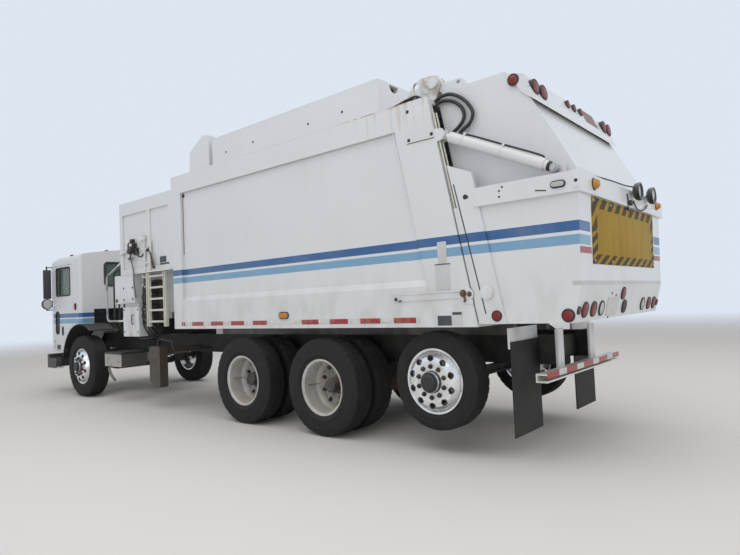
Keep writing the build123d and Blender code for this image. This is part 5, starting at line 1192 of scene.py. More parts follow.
class TRUCK_OT_rear_board(bpy.types.Operator):
    """Builds the striped board on the rear, its bolts, the bare plate holder and the strips beside it."""

    bl_idname = "truck.rear_board"
    bl_label = "Rear board"

    def execute(self, context):
        top_x = rear_surface(0.3, BOARD_HIGH_Z - 0.01)[0].x
        low_x = rear_surface(0.3, BOARD_LOW_Z)[0].x
        board = Form()
        outline = [
            (top_x + 0.001, BOARD_HIGH_Z),
            (top_x - 0.006, BOARD_HIGH_Z),
            (low_x - 0.006, BOARD_LOW_Z),
            (low_x + 0.001, BOARD_LOW_Z),
        ]
        board.prism(outline, "Y", -BOARD_HALF, BOARD_HALF, 0.0015)
        board.piece("hazard_board", "tailgate", "board")
        bolts = Form()
        for y in (-BOARD_HALF + 0.04, -0.45, 0.0, 0.45, BOARD_HALF - 0.04):
            for share in (0.05, 0.95):
                x = low_x + share * (top_x - low_x) - 0.006
                z = BOARD_LOW_Z + share * (BOARD_HIGH_Z - BOARD_LOW_Z)
                bolts.bolt((x, y, z), (-1, 0, 0), 0.009, 0.006)
        bolts.piece("hazard_board_bolts", "tailgate", "steel")
        plate = Form()
        spot, facing = rear_surface(0.356, 1.292)
        corners = []
        for across, rise in ((-0.150, -0.075), (0.150, -0.075), (0.150, 0.075), (-0.150, 0.075)):
            corners.append(Vector((spot.x - rise * facing.z / facing.x, 0.356 + across, 1.292 + rise)))
        plate.slab(corners, facing, 0.006, 0.002)
        plate.piece("plate_holder", "tailgate", "blank_plate")
        clips = Form()
        for y, z in ((0.424, 1.405), (0.300, 1.385), (0.424, 1.200)):
            spot, facing = rear_surface(y, z)
            clips.disc(spot, facing, 0.011, 0.004, 0.001, 14)
        clips.piece("plate_clips", "tailgate", "black")
        strips = Form()
        for side in (1, -1):
            spot, _ = rear_surface(1.08 * side, 1.75)
            y_low, y_high = sorted((0.955 * side, 1.205 * side))
            strips.block((spot.x - 0.002, y_low, 1.725), (spot.x + 0.004, y_high, 1.775), 0.0)
        strips.piece("rear_red_strips", "tailgate", "red_tape")
        patch = Form()
        spot, facing = rear_surface(-0.44, 3.215)
        up = Vector((0, 1, 0)).cross(facing).normalized()
        up = -up if up.z < 0 else up
        corners = []
        for across, rise in ((-0.18, -0.080), (0.18, -0.080), (0.18, 0.080), (-0.18, 0.080)):
            corners.append(spot + Vector((0, across, 0)) + up * rise)
        patch.slab(corners, facing, 0.002, 0.003)
        patch.piece("faded_patch", "tailgate", "faded_patch")
        return {"FINISHED"}


class TRUCK_OT_tapes(bpy.types.Operator):
    """Lays the reflective tape along the body's low rail and the rear guard."""

    bl_idname = "truck.tapes"
    bl_label = "Reflective tape"

    def execute(self, context):
        for side_name, side in SIDES:
            strip = Form()
            strip.block((-1.36, 1.2185, 1.205), (2.60, 1.2220, 1.257), 0.0005)
            strip.piece(f"body_tape_{side_name}", "root", "side_tape", side)
        strip = Form()
        strip.block((-2.4425, -0.965, 0.714), (-2.439, 0.965, 0.766), 0.0005)
        strip.piece("guard_tape", "root", "rear_tape")
        return {"FINISHED"}


COVER = ((-1.300, 3.215), (-1.304, 2.884), (-1.612, 2.884), (-1.572, 3.205))
COVER_BOLTS = ((-1.330, 3.184), (-1.332, 2.912), (-1.586, 2.918))
ROOF_BOX_DOTS = ((1.729, 3.464), (1.170, 3.476), (0.185, 3.470), (-0.342, 3.476))


class TRUCK_OT_body_trim(bpy.types.Operator):
    """Adds the body's bolted cover plates, weld beads, pipes, markers, plugs and front seams."""

    bl_idname = "truck.body_trim"
    bl_label = "Body trim"

    def execute(self, context):
        for side_name, side in SIDES:
            cover = Form()
            cover.prism(COVER, "Y", 1.2185, 1.2255, 0.003)
            cover.piece(f"corner_cover_{side_name}", "root", "body_paint", side)
            line = Form()
            line.tube([(-1.310, 1.2230, 2.8815), (-1.606, 1.2230, 2.8815)], 0.0032, 6, 1)
            line.piece(f"corner_cover_line_{side_name}", "root", "seal", side)
            bolts = Form()
            for x, z in COVER_BOLTS:
                bolts.bolt((x, 1.2255, z), (0, 1, 0), 0.0125, 0.007)
            bolts.piece(f"cover_bolts_{side_name}", "root", "black", side)
            bead = Form()
            bead.tube([(-1.098, 1.2205, 3.262), (-1.538, 1.2205, 1.172)], 0.0045, 6, 1)
            bead.tube([(2.56, 1.2200, 3.262), (2.56, 1.2200, 1.172)], 0.004, 6, 1)
            bead.tube([(2.555, 1.181, 3.024), (-1.13, 1.181, 3.024)], 0.005, 6, 1)
            bead.tube([(2.78, 1.216, 3.274), (-1.545, 1.216, 3.274)], 0.006, 6, 1)
            bead.piece(f"body_beads_{side_name}", "root", "body_paint", side)
            pipes = Form()
            for out, back in ((1.196, 0.010), (1.160, 0.018)):
                line = [(-1.588 - back, out, 3.12), (-1.958 - back, out, 1.24)]
                pipes.tube(line, 0.009, 8, 1)
            pipes.piece(f"frame_pipes_{side_name}", "root", "ladder_paint", side)
            marker = Form()
            rings = Form()
            spot, facing = side_surface("body_shell", 0.510, 1.310)
            bar_lamp(marker, rings, spot, facing, 0.075, 0.030)
            marker.piece(f"body_markers_{side_name}", "root", "amber_lens", side)
            rings.piece(f"body_marker_rings_{side_name}", "root", "seal", side)
            plugs = Form()
            dee = []
            for angle in range(180, 361, 12):
                turn = math.radians(angle)
                dee.append((0.775 + 0.074 * math.cos(turn), 3.682 + 0.074 * math.sin(turn)))
            plugs.prism(dee, "X", -0.790, -0.780, 0.0)
            for x, z in ROOF_BOX_DOTS:
                plugs.disc((x, 1.0395, z), (0, 1, 0), 0.014, 0.003, 0.001, 14)
            spot, facing = side_surface("body_shell", 2.535, 2.990)
            plugs.disc(spot, facing, 0.028, 0.004, 0.001, 20)
            plugs.piece(f"roof_box_plug_{side_name}", "root", "seal", side)
            seam = Form()
            seam.tube([(2.548, spot.y + 0.001, 2.970), (2.550, spot.y + 0.001, 2.180)], 0.0045, 6, 1)
            seam.piece(f"front_seam_{side_name}", "root", "rusty_iron", side)
        return {"FINISHED"}


class TRUCK_OT_tail_lock(bpy.types.Operator):
    """Adds the tailgate's lock with its long rod, the bare plates round it and the mid beam's holes."""

    bl_idname = "truck.tail_lock"
    bl_label = "Tailgate lock"

    def execute(self, context):
        for side_name, side in SIDES:
            bar = Form()
            outline = [(-1.800, 1.418), (-1.060, 1.404), (-1.040, 1.468), (-1.800, 1.490)]
            bar.prism(outline, "Y", 1.2190, 1.2310, 0.004)
            bar.tube([(-1.030, 1.228, 1.472), (-1.820, 1.240, 1.482)], 0.008, 8, 1)
            bar.disc((-1.862, 1.2190, 1.445), (0, 1, 0), 0.068, 0.014, 0.004, 36)
            bar.block((-1.925, 1.2190, 1.362), (-1.825, 1.2300, 1.400), 0.003)
            bar.piece(f"lock_bar_{side_name}", "root", "body_paint", side)
            bolts = Form()
            bolts.bolt((-1.838, 1.2330, 1.458), (0, 1, 0), 0.024, 0.030)
            bolts.bolt((-1.898, 1.2330, 1.450), (0, 1, 0), 0.017, 0.022)
            bolts.tube([(-1.845, 1.245, 1.440), (-1.862, 1.250, 1.405), (-1.850, 1.245, 1.385)], 0.010, 8, 4)
            bolts.piece(f"lock_bolts_{side_name}", "root", "rusty_iron", side)
            hook = Form()
            hook.bolt((-1.100, 1.2310, 1.432), (0, 1, 0), 0.013, 0.012)
            hook.tube([(-1.130, 1.240, 1.418), (-1.160, 1.242, 1.408), (-1.165, 1.240, 1.425)], 0.005, 6, 4)
            hook.piece(f"lock_hook_{side_name}", "root", "black", side)
            button = Form()
            button.disc((-2.066, 1.2290, 1.455), (0, 1, 0), 0.062, 0.018, 0.006, 36)
            button.block((-2.058, 1.2290, 1.405), (-2.020, 1.2380, 1.432), 0.002)
            button.piece(f"lock_button_{side_name}", "tailgate", "plain_paint", side)
            plates = Form()
            plates.block((-1.680, 1.2195, 1.733), (-1.586, 1.2222, 1.930), 0.0005)
            plates.block((-1.708, 1.2195, 1.494), (-1.553, 1.2222, 1.722), 0.0005)
            plates.block((-1.808, 1.2195, 1.182), (-1.706, 1.2222, 1.268), 0.0005)
            plates.piece(f"blank_plates_{side_name}", "root", "blank_plate", side)
            dark = Form()
            dark.block((-1.712, 1.2195, 1.723), (-1.550, 1.2235, 1.732), 0.0005)
            dark.block((-1.700, 1.2195, 1.180), (-1.554, 1.2222, 1.268), 0.0005)
            dark.block((-1.805, 1.2195, 1.274), (-1.710, 1.2222, 1.298), 0.0005)
            dark.piece(f"dark_plates_{side_name}", "root", "grey_plate", side)
            seal = Form()
            seal.tube([(-2.046, 1.230, 1.275), (-1.868, 1.230, 2.080), (-1.793, 1.230, 2.420)], 0.0055, 6, 1)
            seal.piece(f"tail_edge_seal_{side_name}", "tailgate", "seal", side)
            holes = Form()
            for x, z in ((-2.264, 2.317), (-2.235, 2.288), (-2.233, 2.239)):
                spot, facing = side_surface("tailgate", x, z, side)
                holes.disc(spot, facing, 0.009, 0.002, 0.0, 14)
            spot, facing = side_surface("tailgate", -1.902, 2.292, side)
            holes.disc(spot, facing, 0.022, 0.002, 0.0, 18)
            spot, facing = side_surface("tailgate", -2.590, 2.235, side)
            slope = Vector((0.045, 0, 0.007))
            holes.tube([spot + slope, spot - slope], 0.005, 6, 1)
            spot, facing = side_surface("tailgate", -2.872, 2.269, side)
            holes.disc(spot, facing, 0.014, 0.008, 0.0, 18)
            holes.piece(f"beam_holes_{side_name}", "tailgate", "seal")
            end = Form()
            low, high = sorted((spot.y - 0.001 * side, spot.y + 0.006 * side))
            end.block((-2.897, low, 2.215), (-2.846, high, 2.350), 0.002)
            end.piece(f"beam_end_plate_{side_name}", "tailgate", "tail_paint")
        return {"FINISHED"}


OUTER_HOSE = (
    # x and z from the body's corner to the cylinder
    (-1.489, 3.170),
    (-1.562, 3.266),
    (-1.684, 3.292),
    (-1.795, 3.248),
    (-1.885, 3.165),
    (-1.937, 3.070),
    (-1.924, 3.005),
    (-1.888, 2.960),
    (-1.838, 2.935),
    (-1.803, 2.905),
    (-1.822, 2.862),
)
INNER_HOSE = (
    (-1.500, 3.145),
    (-1.560, 3.222),
    (-1.640, 3.243),
    (-1.745, 3.210),
    (-1.825, 3.140),
    (-1.851, 3.066),
    (-1.836, 3.012),
    (-1.790, 2.965),
    (-1.730, 2.928),
    (-1.698, 2.905),
)
HOSE_Y = 1.082
HOSE_FITTINGS = (
    # x, y, z
    (-1.215, 1.160, 3.306),
    (-1.285, 1.150, 3.322),
    (-1.345, 1.135, 3.332),
    (-1.128, 1.155, 3.298),
)


class TRUCK_OT_tail_hoses(bpy.types.Operator):
    """Builds the hoses that loop from the body's top corners to the tailgate's cylinders."""

    bl_idname = "truck.tail_hoses"
    bl_label = "Tailgate hoses"

    def execute(self, context):
        for side_name, side in SIDES:
            barrel = f"lift_barrel_{side_name}"
            loops = Form()
            for course in (OUTER_HOSE, INNER_HOSE):
                loops.tube([(x, HOSE_Y, z) for x, z in course], 0.0165, 12, 6)
            made = loops.piece(f"hose_loops_{side_name}", None, "hose", side, 50.0)
            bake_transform(made)
            ends = Form()
            ends.tube([(-1.815, 1.084, 2.872), (-1.828, 1.086, 2.852), (-1.852, 1.112, 2.832)], 0.0180, 10, 4)
            ends.tube([(-1.716, 1.083, 2.918), (-1.700, 1.088, 2.904), (-1.690, 1.114, 2.900)], 0.0180, 10, 4)
            ends.piece(f"hose_ends_{side_name}", barrel, "steel", side)
            cluster = Form()
            for shift in (0.0, 0.030, 0.060):
                line = [(-1.06 - shift, 1.150, 3.290), (-1.18, 1.165 - shift, 3.300 + shift * 0.3)]
                line += [(-1.30, 1.160 - shift, 3.325), (-1.40, 1.130 - shift, 3.330)]
                line += [(-1.485, 1.088, 3.200 - shift * 0.3)]
                cluster.tube(line, 0.0135, 8, 6)
            cluster.piece(f"hose_cluster_{side_name}", "root", "hose", side, 50.0)
            fittings = Form()
            for x, out, z in HOSE_FITTINGS:
                fittings.tube([(x, out, z), (x - 0.030, out, z + 0.006)], 0.0155, 8, 1)
            fittings.piece(f"hose_fittings_{side_name}", "root", "steel", side)
        return {"FINISHED"}


# x and z at the windscreen's lower and upper edges.
SCREEN_LOW = (7.276, 1.562)
SCREEN_HIGH = (7.143, 2.306)


class TRUCK_OT_cab_windows(bpy.types.Operator):
    """Adds rubber seals, frames and wipers to the cab's windows."""

    bl_idname = "truck.cab_windows"
    bl_label = "Window seals and wipers"

    def execute(self, context):
        seal = settings().fittings.seal_radius
        rear = Form()
        outline = rounded_outline((-0.70, 1.93), (0.70, 2.35), 0.06)
        rear.tube([(5.928, u, v) for u, v in outline], seal * 1.3, 8, 1, True)
        screen = rounded_outline((-0.955, SCREEN_LOW[1]), (0.955, SCREEN_HIGH[1]), 0.05)
        points = []
        for u, v in screen:
            share = (v - SCREEN_LOW[1]) / (SCREEN_HIGH[1] - SCREEN_LOW[1])
            points.append((SCREEN_LOW[0] + share * (SCREEN_HIGH[0] - SCREEN_LOW[0]), u, v))
        rear.tube(points, seal, 8, 1, True)
        rear.tube([(x, 0, z) for x, z in (SCREEN_LOW, SCREEN_HIGH)], 0.012, 8, 1)
        rear.piece("cab_window_seals", "cab", "seal")
        for side_name, side in SIDES:
            door = Form()
            outline = rounded_outline((6.31, 1.78), (6.90, 2.29), 0.04)
            door.tube([(u, 1.149, v) for u, v in outline], seal, 8, 1, True)
            outline = rounded_outline((6.80, 1.08), (6.94, 1.49), 0.06)
            door.tube([(u, 1.149, v) for u, v in outline], seal * 0.9, 8, 1, True)
            door.block((6.755, 1.132, 1.775), (6.775, 1.152, 2.295), 0.003)
            door.piece(f"door_seals_{side_name}", f"door_{side_name}", "seal", side)
            wiper = Form()
            wiper.disc((7.292, 0.50, 1.535), (1, 0, 0), 0.022, 0.018)
            wiper.tube([(7.302, 0.50, 1.535), (7.262, 0.22, 1.735)], 0.006, 8, 1)
            wiper.tube([(7.290, 0.10, 1.575), (7.262, 0.22, 1.735), (7.215, 0.36, 1.980)], 0.005, 8, 3)
            wiper.piece(f"wiper_{side_name}", "cab", "black", side)
        return {"FINISHED"}


class TRUCK_OT_cab_lamps(bpy.types.Operator):
    """Adds the headlamps, turn lamps and marker lamps of the cab."""

    bl_idname = "truck.cab_lamps"
    bl_label = "Cab lamps"

    def execute(self, context):
        for side_name, side in SIDES:
            marker = Form()
            rings = Form()
            spot, facing = side_surface("cab_shell", 6.102, 1.569)
            bar_lamp(marker, rings, spot, facing, 0.024, 0.052)
            marker.piece(f"cab_marker_{side_name}", "cab", "red_lens", side)
            head = Form()
            bezel = Form()
            for y in (0.83, 0.65):
                spot, facing = surface("cab_shell", (9.0, y, 0.985), (-1, 0, 0))
                round_lamp(head, rings, spot, facing, 0.075, 0.012)
            bezel.frame("X", (0.55, 0.885), (0.925, 1.085), 0.03, 0.022, 7.285, 7.312)
            bezel.piece(f"headlamp_bezel_{side_name}", "cab", "black", side)
            head.piece(f"headlamps_{side_name}", "cab", "clear_lens", side)
            turn = Form()
            turn.block((7.290, 0.60, 1.115), (7.312, 0.88, 1.165), 0.006)
            turn.piece(f"turn_lamp_{side_name}", "cab", "amber_lens", side)
            rings.piece(f"cab_lamp_rings_{side_name}", "cab", "seal", side)
        roof = Form()
        for y in (-0.90, -0.17, 0.0, 0.17, 0.90):
            spot, facing = surface("cab_shell", (6.98, y, ROOF_START), (0, 0, -1))
            dome = [(0, -0.004), (0.040, -0.004), (0.038, 0.018), (0.024, 0.032), (0, 0.036)]
            roof.lathe(dome, spot, facing, 20)
        roof.piece("roof_markers", "cab", "amber_lens")
        rear = Form()
        for x, y in ((5.965, 0.640), (6.420, 1.060), (5.965, -0.640), (6.420, -1.060)):
            spot, facing = surface("cab_shell", (x, y, ROOF_START), (0, 0, -1))
            rear.lathe([(0, -0.004), (0.032, -0.004), (0.030, 0.016), (0, 0.024)], spot, facing, 18)
        rear.piece("roof_rear_markers", "cab", "red_lens")
        return {"FINISHED"}


MIRROR_PLACE = (7.075, 1.245, 2.010)
MIRROR_TURN = -25


class TRUCK_OT_cab_mirrors(bpy.types.Operator):
    """Adds the glasses of the tall mirrors and the round ones below, as matt plates with painted reflections.
    """

    bl_idname = "truck.cab_mirrors"
    bl_label = "Mirror glasses"

    def execute(self, context):
        for side_name, side in SIDES:
            glass = Form()
            spin = Matrix.Rotation(math.radians(MIRROR_TURN), 3, "Z")
            # Painted reflection: the glass is a dull near-black plate.
            glass.block((-0.0265, -0.055, -0.255), (-0.0245, 0.055, 0.255), 0.0008)
            for vert in glass.mesh.verts:
                vert.co = Vector(MIRROR_PLACE) + spin @ vert.co
            glass.piece(f"mirror_glass_{side_name}", "cab", "mirror_dull", side)
            spot_glass = Form()
            # Painted reflection: the round glass is a matt pale grey plate.
            spot_glass.disc((7.0555, 1.248, 1.640), (-0.98, -0.2, 0), 0.086, 0.002, 0.002, 32)
            spot_glass.piece(f"spot_mirror_glass_{side_name}", "cab", "blank_plate", side)
        return {"FINISHED"}


class TRUCK_OT_cab_trim(bpy.types.Operator):
    """Adds door handles, steps, the grille and a bare plate holder to the cab."""

    bl_idname = "truck.cab_trim"
    bl_label = "Cab trim"

    def execute(self, context):
        for side_name, side in SIDES:
            door = f"door_{side_name}"
            handle = Form()
            handle.prism(rounded_outline((6.612, 1.050), (6.688, 1.222), 0.036), "Y", 1.1490, 1.1535, 0.001)
            handle.block((6.632, 1.1520, 1.075), (6.668, 1.1640, 1.195), 0.006)
            handle.block((6.765, 1.1495, 0.800), (6.905, 1.1525, 0.880), 0.001)
            handle.piece(f"door_handle_{side_name}", door, "black", side)
            step = Form()
            step.block((6.93, 1.10, 0.615), (7.20, 1.178, 0.640), 0.004)
            step.piece(f"cab_step_{side_name}", "root", "black", side)
            tread = Form()
            tread.block((6.820, 1.080, 0.452), (7.020, 1.168, 0.474), 0.006)
            tread.piece(f"bumper_step_{side_name}", "root", "plain_paint", side)
        grille = Form()
        for row in range(9):
            z = 0.86 + row * 0.058
            grille.block((7.292, -0.46, z), (7.312, 0.46, z + 0.030), 0.004)
        grille.frame("X", (-0.49, 0.83), (0.49, 1.385), 0.03, 0.028, 7.288, 7.318)
        grille.piece("grille", "cab", "black")
        holder = Form()
        holder.block((7.376, -0.155, 0.50), (7.380, 0.155, 0.65), 0.001)
        # The plate holder takes the bumper's dark grey, which is painted shade.
        holder.piece("front_plate_holder", "root", "bumper_paint")
        return {"FINISHED"}


class TRUCK_OT_cabinets(bpy.types.Operator):
    """Adds the doors, bolts, grip, strap and lamp of the cabinets behind the cab."""

    bl_idname = "truck.cabinets"
    bl_label = "Cabinets"

    def execute(self, context):
        doors = Form()
        doors.block((3.912, 1.209, 1.580), (4.268, 1.217, 1.883), 0.003)
        doors.frame("Y", (3.893, 1.563), (4.497, 1.997), 0.01, 0.014, 1.208, 1.213)
        doors.block((2.810, 1.2190, 1.994), (3.413, 1.262, 2.016), 0.003)
        doors.piece("cabinet_door", "root", "plain_paint")
        bolts = Form()
        for x, z in ((4.210, 1.796), (3.935, 1.798), (4.204, 1.617), (3.935, 1.622)):
            bolts.bolt((x, 1.217, z), (0, 1, 0), 0.013, 0.007)
        for x in (3.885, 4.295):
            for z in (1.12, 1.46):
                bolts.bolt((x, 1.170, z), (0, 1, 0), 0.010, 0.007)
        grip = [(4.02, 1.168, 1.38), (4.02, 1.195, 1.37), (4.02, 1.195, 1.25), (4.02, 1.168, 1.24)]
        bolts.tube(grip, 0.007, 8, 4)
        bolts.piece("cabinet_bolts", "root", "black")
        strap = Form()
        strap.block((3.848, 1.168, 1.300), (4.332, 1.176, 1.345), 0.002)
        strap.piece("cabinet_strap", "root", "plain_paint")
        lamp = Form()
        rings = Form()
        round_lamp(lamp, rings, (4.440, 1.2105, 1.610), (0, 1, 0), 0.022)
        lamp.piece("cabinet_lamp", "root", "red_lens")
        rings.piece("cabinet_lamp_ring", "root", "seal")
        return {"FINISHED"}


class TRUCK_OT_hopper_valves(bpy.types.Operator):
    """Adds the valve cluster on the hopper's side with its brackets, pipes and bare plates."""

    bl_idname = "truck.hopper_valves"
    bl_label = "Hopper valves"

    def execute(self, context):
        valves = Form()
        valves.block((3.800, 1.1970, 2.310), (3.950, 1.275, 2.470), 0.010)
        valves.block((3.740, 1.1970, 2.280), (3.810, 1.250, 2.390), 0.008)
        valves.disc((3.860, 1.2750, 2.340), (0, 1, 0), 0.045, 0.030, 0.004, 20)
        valves.block((3.860, 1.1970, 2.470), (3.915, 1.250, 2.530), 0.006)
        valves.block((3.385, 1.2190, 2.300), (3.440, 1.255, 2.345), 0.006)
        valves.tube([(3.880, 1.255, 2.310), (3.900, 1.262, 2.240), (3.980, 1.250, 2.235)], 0.012, 8, 5)
        loop = [(3.740, 1.240, 2.330), (3.690, 1.255, 2.270), (3.600, 1.240, 2.240), (3.520, 1.230, 2.300)]
        valves.tube(loop, 0.011, 8, 5)
        valves.tube([(3.383, 1.240, 2.364), (3.259, 1.240, 2.047)], 0.011, 8, 1)
        valves.tube([(3.300, 1.240, 2.150), (3.259, 1.240, 2.047)], 0.019, 10, 1)
        valves.piece("hopper_valves", "root", "valve")
        pale = Form()
        pale.tube([(4.262, 1.230, 2.335), (4.120, 1.235, 2.350), (3.960, 1.240, 2.400)], 0.020, 10, 3)
        pale.disc((3.960, 1.2400, 2.490), (0, 1, 0), 0.042, 0.035, 0.006, 24)
        pale.disc((3.985, 1.2300, 2.400), (0, 1, 0), 0.036, 0.045, 0.006, 24)
        pale.disc((3.835, 1.2750, 2.430), (0, 1, 0), 0.022, 0.020, 0.004, 16)
        pale.block((3.930, 1.1970, 2.200), (4.050, 1.240, 2.250), 0.006)
        pale.block((3.560, 1.1970, 2.470), (3.640, 1.255, 2.560), 0.008)
        pale.disc((3.500, 1.2460, 2.500), (0, 1, 0), 0.030, 0.020, 0.004, 20)
        pale.block((3.500, 1.2190, 2.020), (3.524, 1.246, 2.540), 0.003)
        pale.block((3.345, 1.2190, 2.016), (3.368, 1.246, 2.470), 0.003)
        pale.block((3.365, 1.2200, 2.330), (3.505, 1.240, 2.352), 0.003)
        pale.block((3.365, 1.2200, 2.130), (3.505, 1.240, 2.152), 0.003)
        pale.piece("hopper_brackets", "root", "plain_paint")
        line = Form()
        course = [(3.991, 1.222, 2.254), (3.905, 1.245, 2.215), (3.845, 1.245, 2.080)]
        course += [(3.838, 1.240, 1.860), (3.870, 1.200, 1.640)]
        line.tube(course, 0.0115, 8, 6)
        course = [(5.210, 1.0, 0.500), (5.150, 1.0, 0.410), (5.060, 1.0, 0.340), (5.010, 1.0, 0.310)]
        line.tube(course, 0.022, 10, 4)
        line.piece("hopper_pipe", "root", "grey_box")
        labels = Form()
        labels.block((2.985, 1.1975, 2.118), (3.153, 1.2005, 2.205), 0.0005)
        labels.block((2.880, 1.1975, 2.084), (3.153, 1.2005, 2.110), 0.0005)
        labels.piece("hopper_plates", "root", "grey_plate")
        return {"FINISHED"}


VALVE_ROWS = [1.37 + row * 0.092 for row in range(6)]
VALVE_COLUMNS = (3.61, 3.70)
# How far a valve hose sways forward or back.
HOSE_SWAY = 0.03


class TRUCK_OT_valve_bank(bpy.types.Operator):
    """Adds the pipes, hoses and fittings of the valve bank."""

    bl_idname = "truck.valve_bank"
    bl_label = "Valve bank"

    def execute(self, context):
        pipes = Form()
        for z in (1.955, 1.810, 1.640, 1.470):
            pipes.disc((3.745, 1.100, z), (0, 1, 0), 0.034, 0.050, 0.006, 18)
            pipes.tube([(3.745, 1.120, z), (3.690, 1.150, z - 0.015), (3.610, 1.140, z + 0.005)], 0.014, 8, 4)
        pipes.tube([(3.580, 1.150, 2.000), (3.590, 1.155, 1.700), (3.570, 1.150, 1.250)], 0.012, 8, 5)
        pipes.piece("valve_pipes", "root", "ladder_paint")
        hoses = Form()
        random.seed(5)
        for z in VALVE_ROWS:
            for x in VALVE_COLUMNS:
                sway = random.uniform(-HOSE_SWAY, HOSE_SWAY)
                course = [(x, 1.108, z), (x + 0.005, 1.150, z - 0.01), (x + 0.02 + sway, 1.165, z - 0.12)]
                course += [(x - 0.03 + sway, 1.10, z - 0.30), (x - 0.02, 0.99, max(1.02, z - 0.44))]
                course += [(x - 0.02, 0.93, max(0.96, z - 0.50))]
                hoses.tube(course, 0.0125, 8, 6)
        hoses.piece("valve_hoses", "root", "hose")
        caps = Form()
        for z in VALVE_ROWS:
            for x in VALVE_COLUMNS:
                caps.bolt((x, 1.106, z), (0, 1, 0), 0.015, 0.022)
        caps.piece("valve_fittings", "root", "steel")
        return {"FINISHED"}


class TRUCK_OT_ladder_posts(bpy.types.Operator):
    """Adds the two posts that the ladder hangs on."""

    bl_idname = "truck.ladder_posts"
    bl_label = "Ladder posts"

    def execute(self, context):
        posts = Form()
        posts.block((3.52, 1.165, 1.20), (3.545, 1.212, 2.003), 0.003)
        posts.block((3.012, 1.165, 1.20), (3.037, 1.212, 2.003), 0.003)
        posts.piece("ladder_posts", "root", "ladder_paint")
        return {"FINISHED"}


class TRUCK_OT_hopper_ribs(bpy.types.Operator):
    """Adds weld beads and bolts to the hopper and roof enclosure."""

    bl_idname = "truck.hopper_ribs"
    bl_label = "Hopper and roof trim"

    def execute(self, context):
        for side_name, side in SIDES:
            bead = Form()
            bead.tube([(2.80, 1.214, 2.003), (4.27, 1.214, 2.003)], 0.006, 6, 1)
            if side > 0:
                bead.tube([(2.80, 1.216, 3.105), (4.27, 1.216, 3.105)], 0.006, 6, 1)
            bead.piece(f"hopper_beads_{side_name}", "root", "hopper_paint", side)
            rail = Form()
            rail.tube([(-0.84, 1.036, 3.696), (2.02, 1.036, 3.696)], 0.006, 6, 1)
            rail.tube([(-0.84, 1.038, 3.275), (2.02, 1.038, 3.275)], 0.010, 6, 1)
            rail.piece(f"roof_box_beads_{side_name}", "root", "plain_paint", side)
            bolts = Form()
            for k in range(9):
                bolts.bolt((-0.70 + 0.32 * k, 1.040, 3.32), (0, 1, 0), 0.010, 0.006)
            bolts.piece(f"roof_box_bolts_{side_name}", "root", "steel", side)
        return {"FINISHED"}


BARREL_PIN = (-1.676, 1.170, 2.897)
ROD_PIN = (-2.682, 1.170, 2.413)


class TRUCK_OT_cylinder_fittings(bpy.types.Operator):
    """Adds the tubes, clamps, ports and glands of the tailgate's lift cylinders."""

    bl_idname = "truck.cylinder_fittings"
    bl_label = "Lift cylinder fittings"

    def execute(self, context):
        base = Vector(BARREL_PIN)
        run = (Vector(ROD_PIN) - base).normalized()
        up = Vector((0, 1, 0)).cross(run).normalized()
        up = -up if up.z < 0 else up
        for side_name, side in SIDES:
            body = f"lift_barrel_{side_name}"
            tube = Form()
            along = [base + run * step + up * 0.064 for step in (0.16, 0.30, 0.60, 0.96)]
            tube.tube([along[0] + up * -0.012] + along[1:] + [base + run * 1.00 + up * 0.045], 0.0085, 8, 4)
            tube.piece(f"barrel_tube_{side_name}", body, "hose", side)
            clamp = Form()
            for step in (0.22, 0.62):
                band = [(0.0495, -0.010), (0.0545, -0.010), (0.0545, 0.010), (0.0495, 0.010)]
                clamp.lathe(band, base + run * step, run, 32, True)
                clamp.block(*corner_box(base + run * step + up * 0.062, (0.010, 0.016, 0.012)))
            clamp.disc(base + run * 0.985 + up * 0.035, up, 0.016, 0.016)
            clamp.disc(base + run * 0.115 + up * 0.035, up, 0.016, 0.016)
            clamp.piece(f"barrel_clamps_{side_name}", body, "cylinder_paint", side)
            gland = Form()
            outline = [(0.0255, 0.0), (0.040, 0.0), (0.040, 0.014), (0.034, 0.020), (0.0255, 0.020)]
            gland.lathe(outline, base + run * 1.062, run, 32, True)
            gland.piece(f"barrel_gland_{side_name}", body, "black", side)
        return {"FINISHED"}


def corner_box(centre, halves):
    """The low and high corners of a box round a centre."""
    low = tuple(c - h for c, h in zip(centre, halves))
    high = tuple(c + h for c, h in zip(centre, halves))
    return low, high


SEAT_MIDDLES = (0.56, -0.56)
PAD_VOXEL = 0.014
PAD_SWELL = 0.010
CLOTH_STEPS = 12


class TRUCK_OT_seats(bpy.types.Operator):
    """Builds the padded seats in place of the frame's plain ones."""

    bl_idname = "truck.seats"
    bl_label = "Seats"

    def execute(self, context):
        pads = []
        base_form = Form()
        for y in SEAT_MIDDLES:
            base_form.block((6.005, y - 0.18, 1.550), (6.225, y + 0.18, 1.612), 0.01)
        base = base_form.piece("seat_bases", "cab", "black")
        for number, y in enumerate(SEAT_MIDDLES):
            cushion = Form()
            cushion.block((5.995, y - 0.24, 1.618), (6.455, y + 0.24, 1.700), 0.035)
            back = Form()
            outline = [(5.995, 1.705), (5.993, 2.255), (6.055, 2.262), (6.105, 1.705)]
            back.prism(outline, "Y", y - 0.235, y + 0.235, 0.028)
            for part, form in (("cushion", cushion), ("back", back)):
                pads.append(pad(form, f"seat_{part}_{number}"))
        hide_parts("seats")
        for made in pads:
            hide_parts("seats")
        return {"FINISHED"}


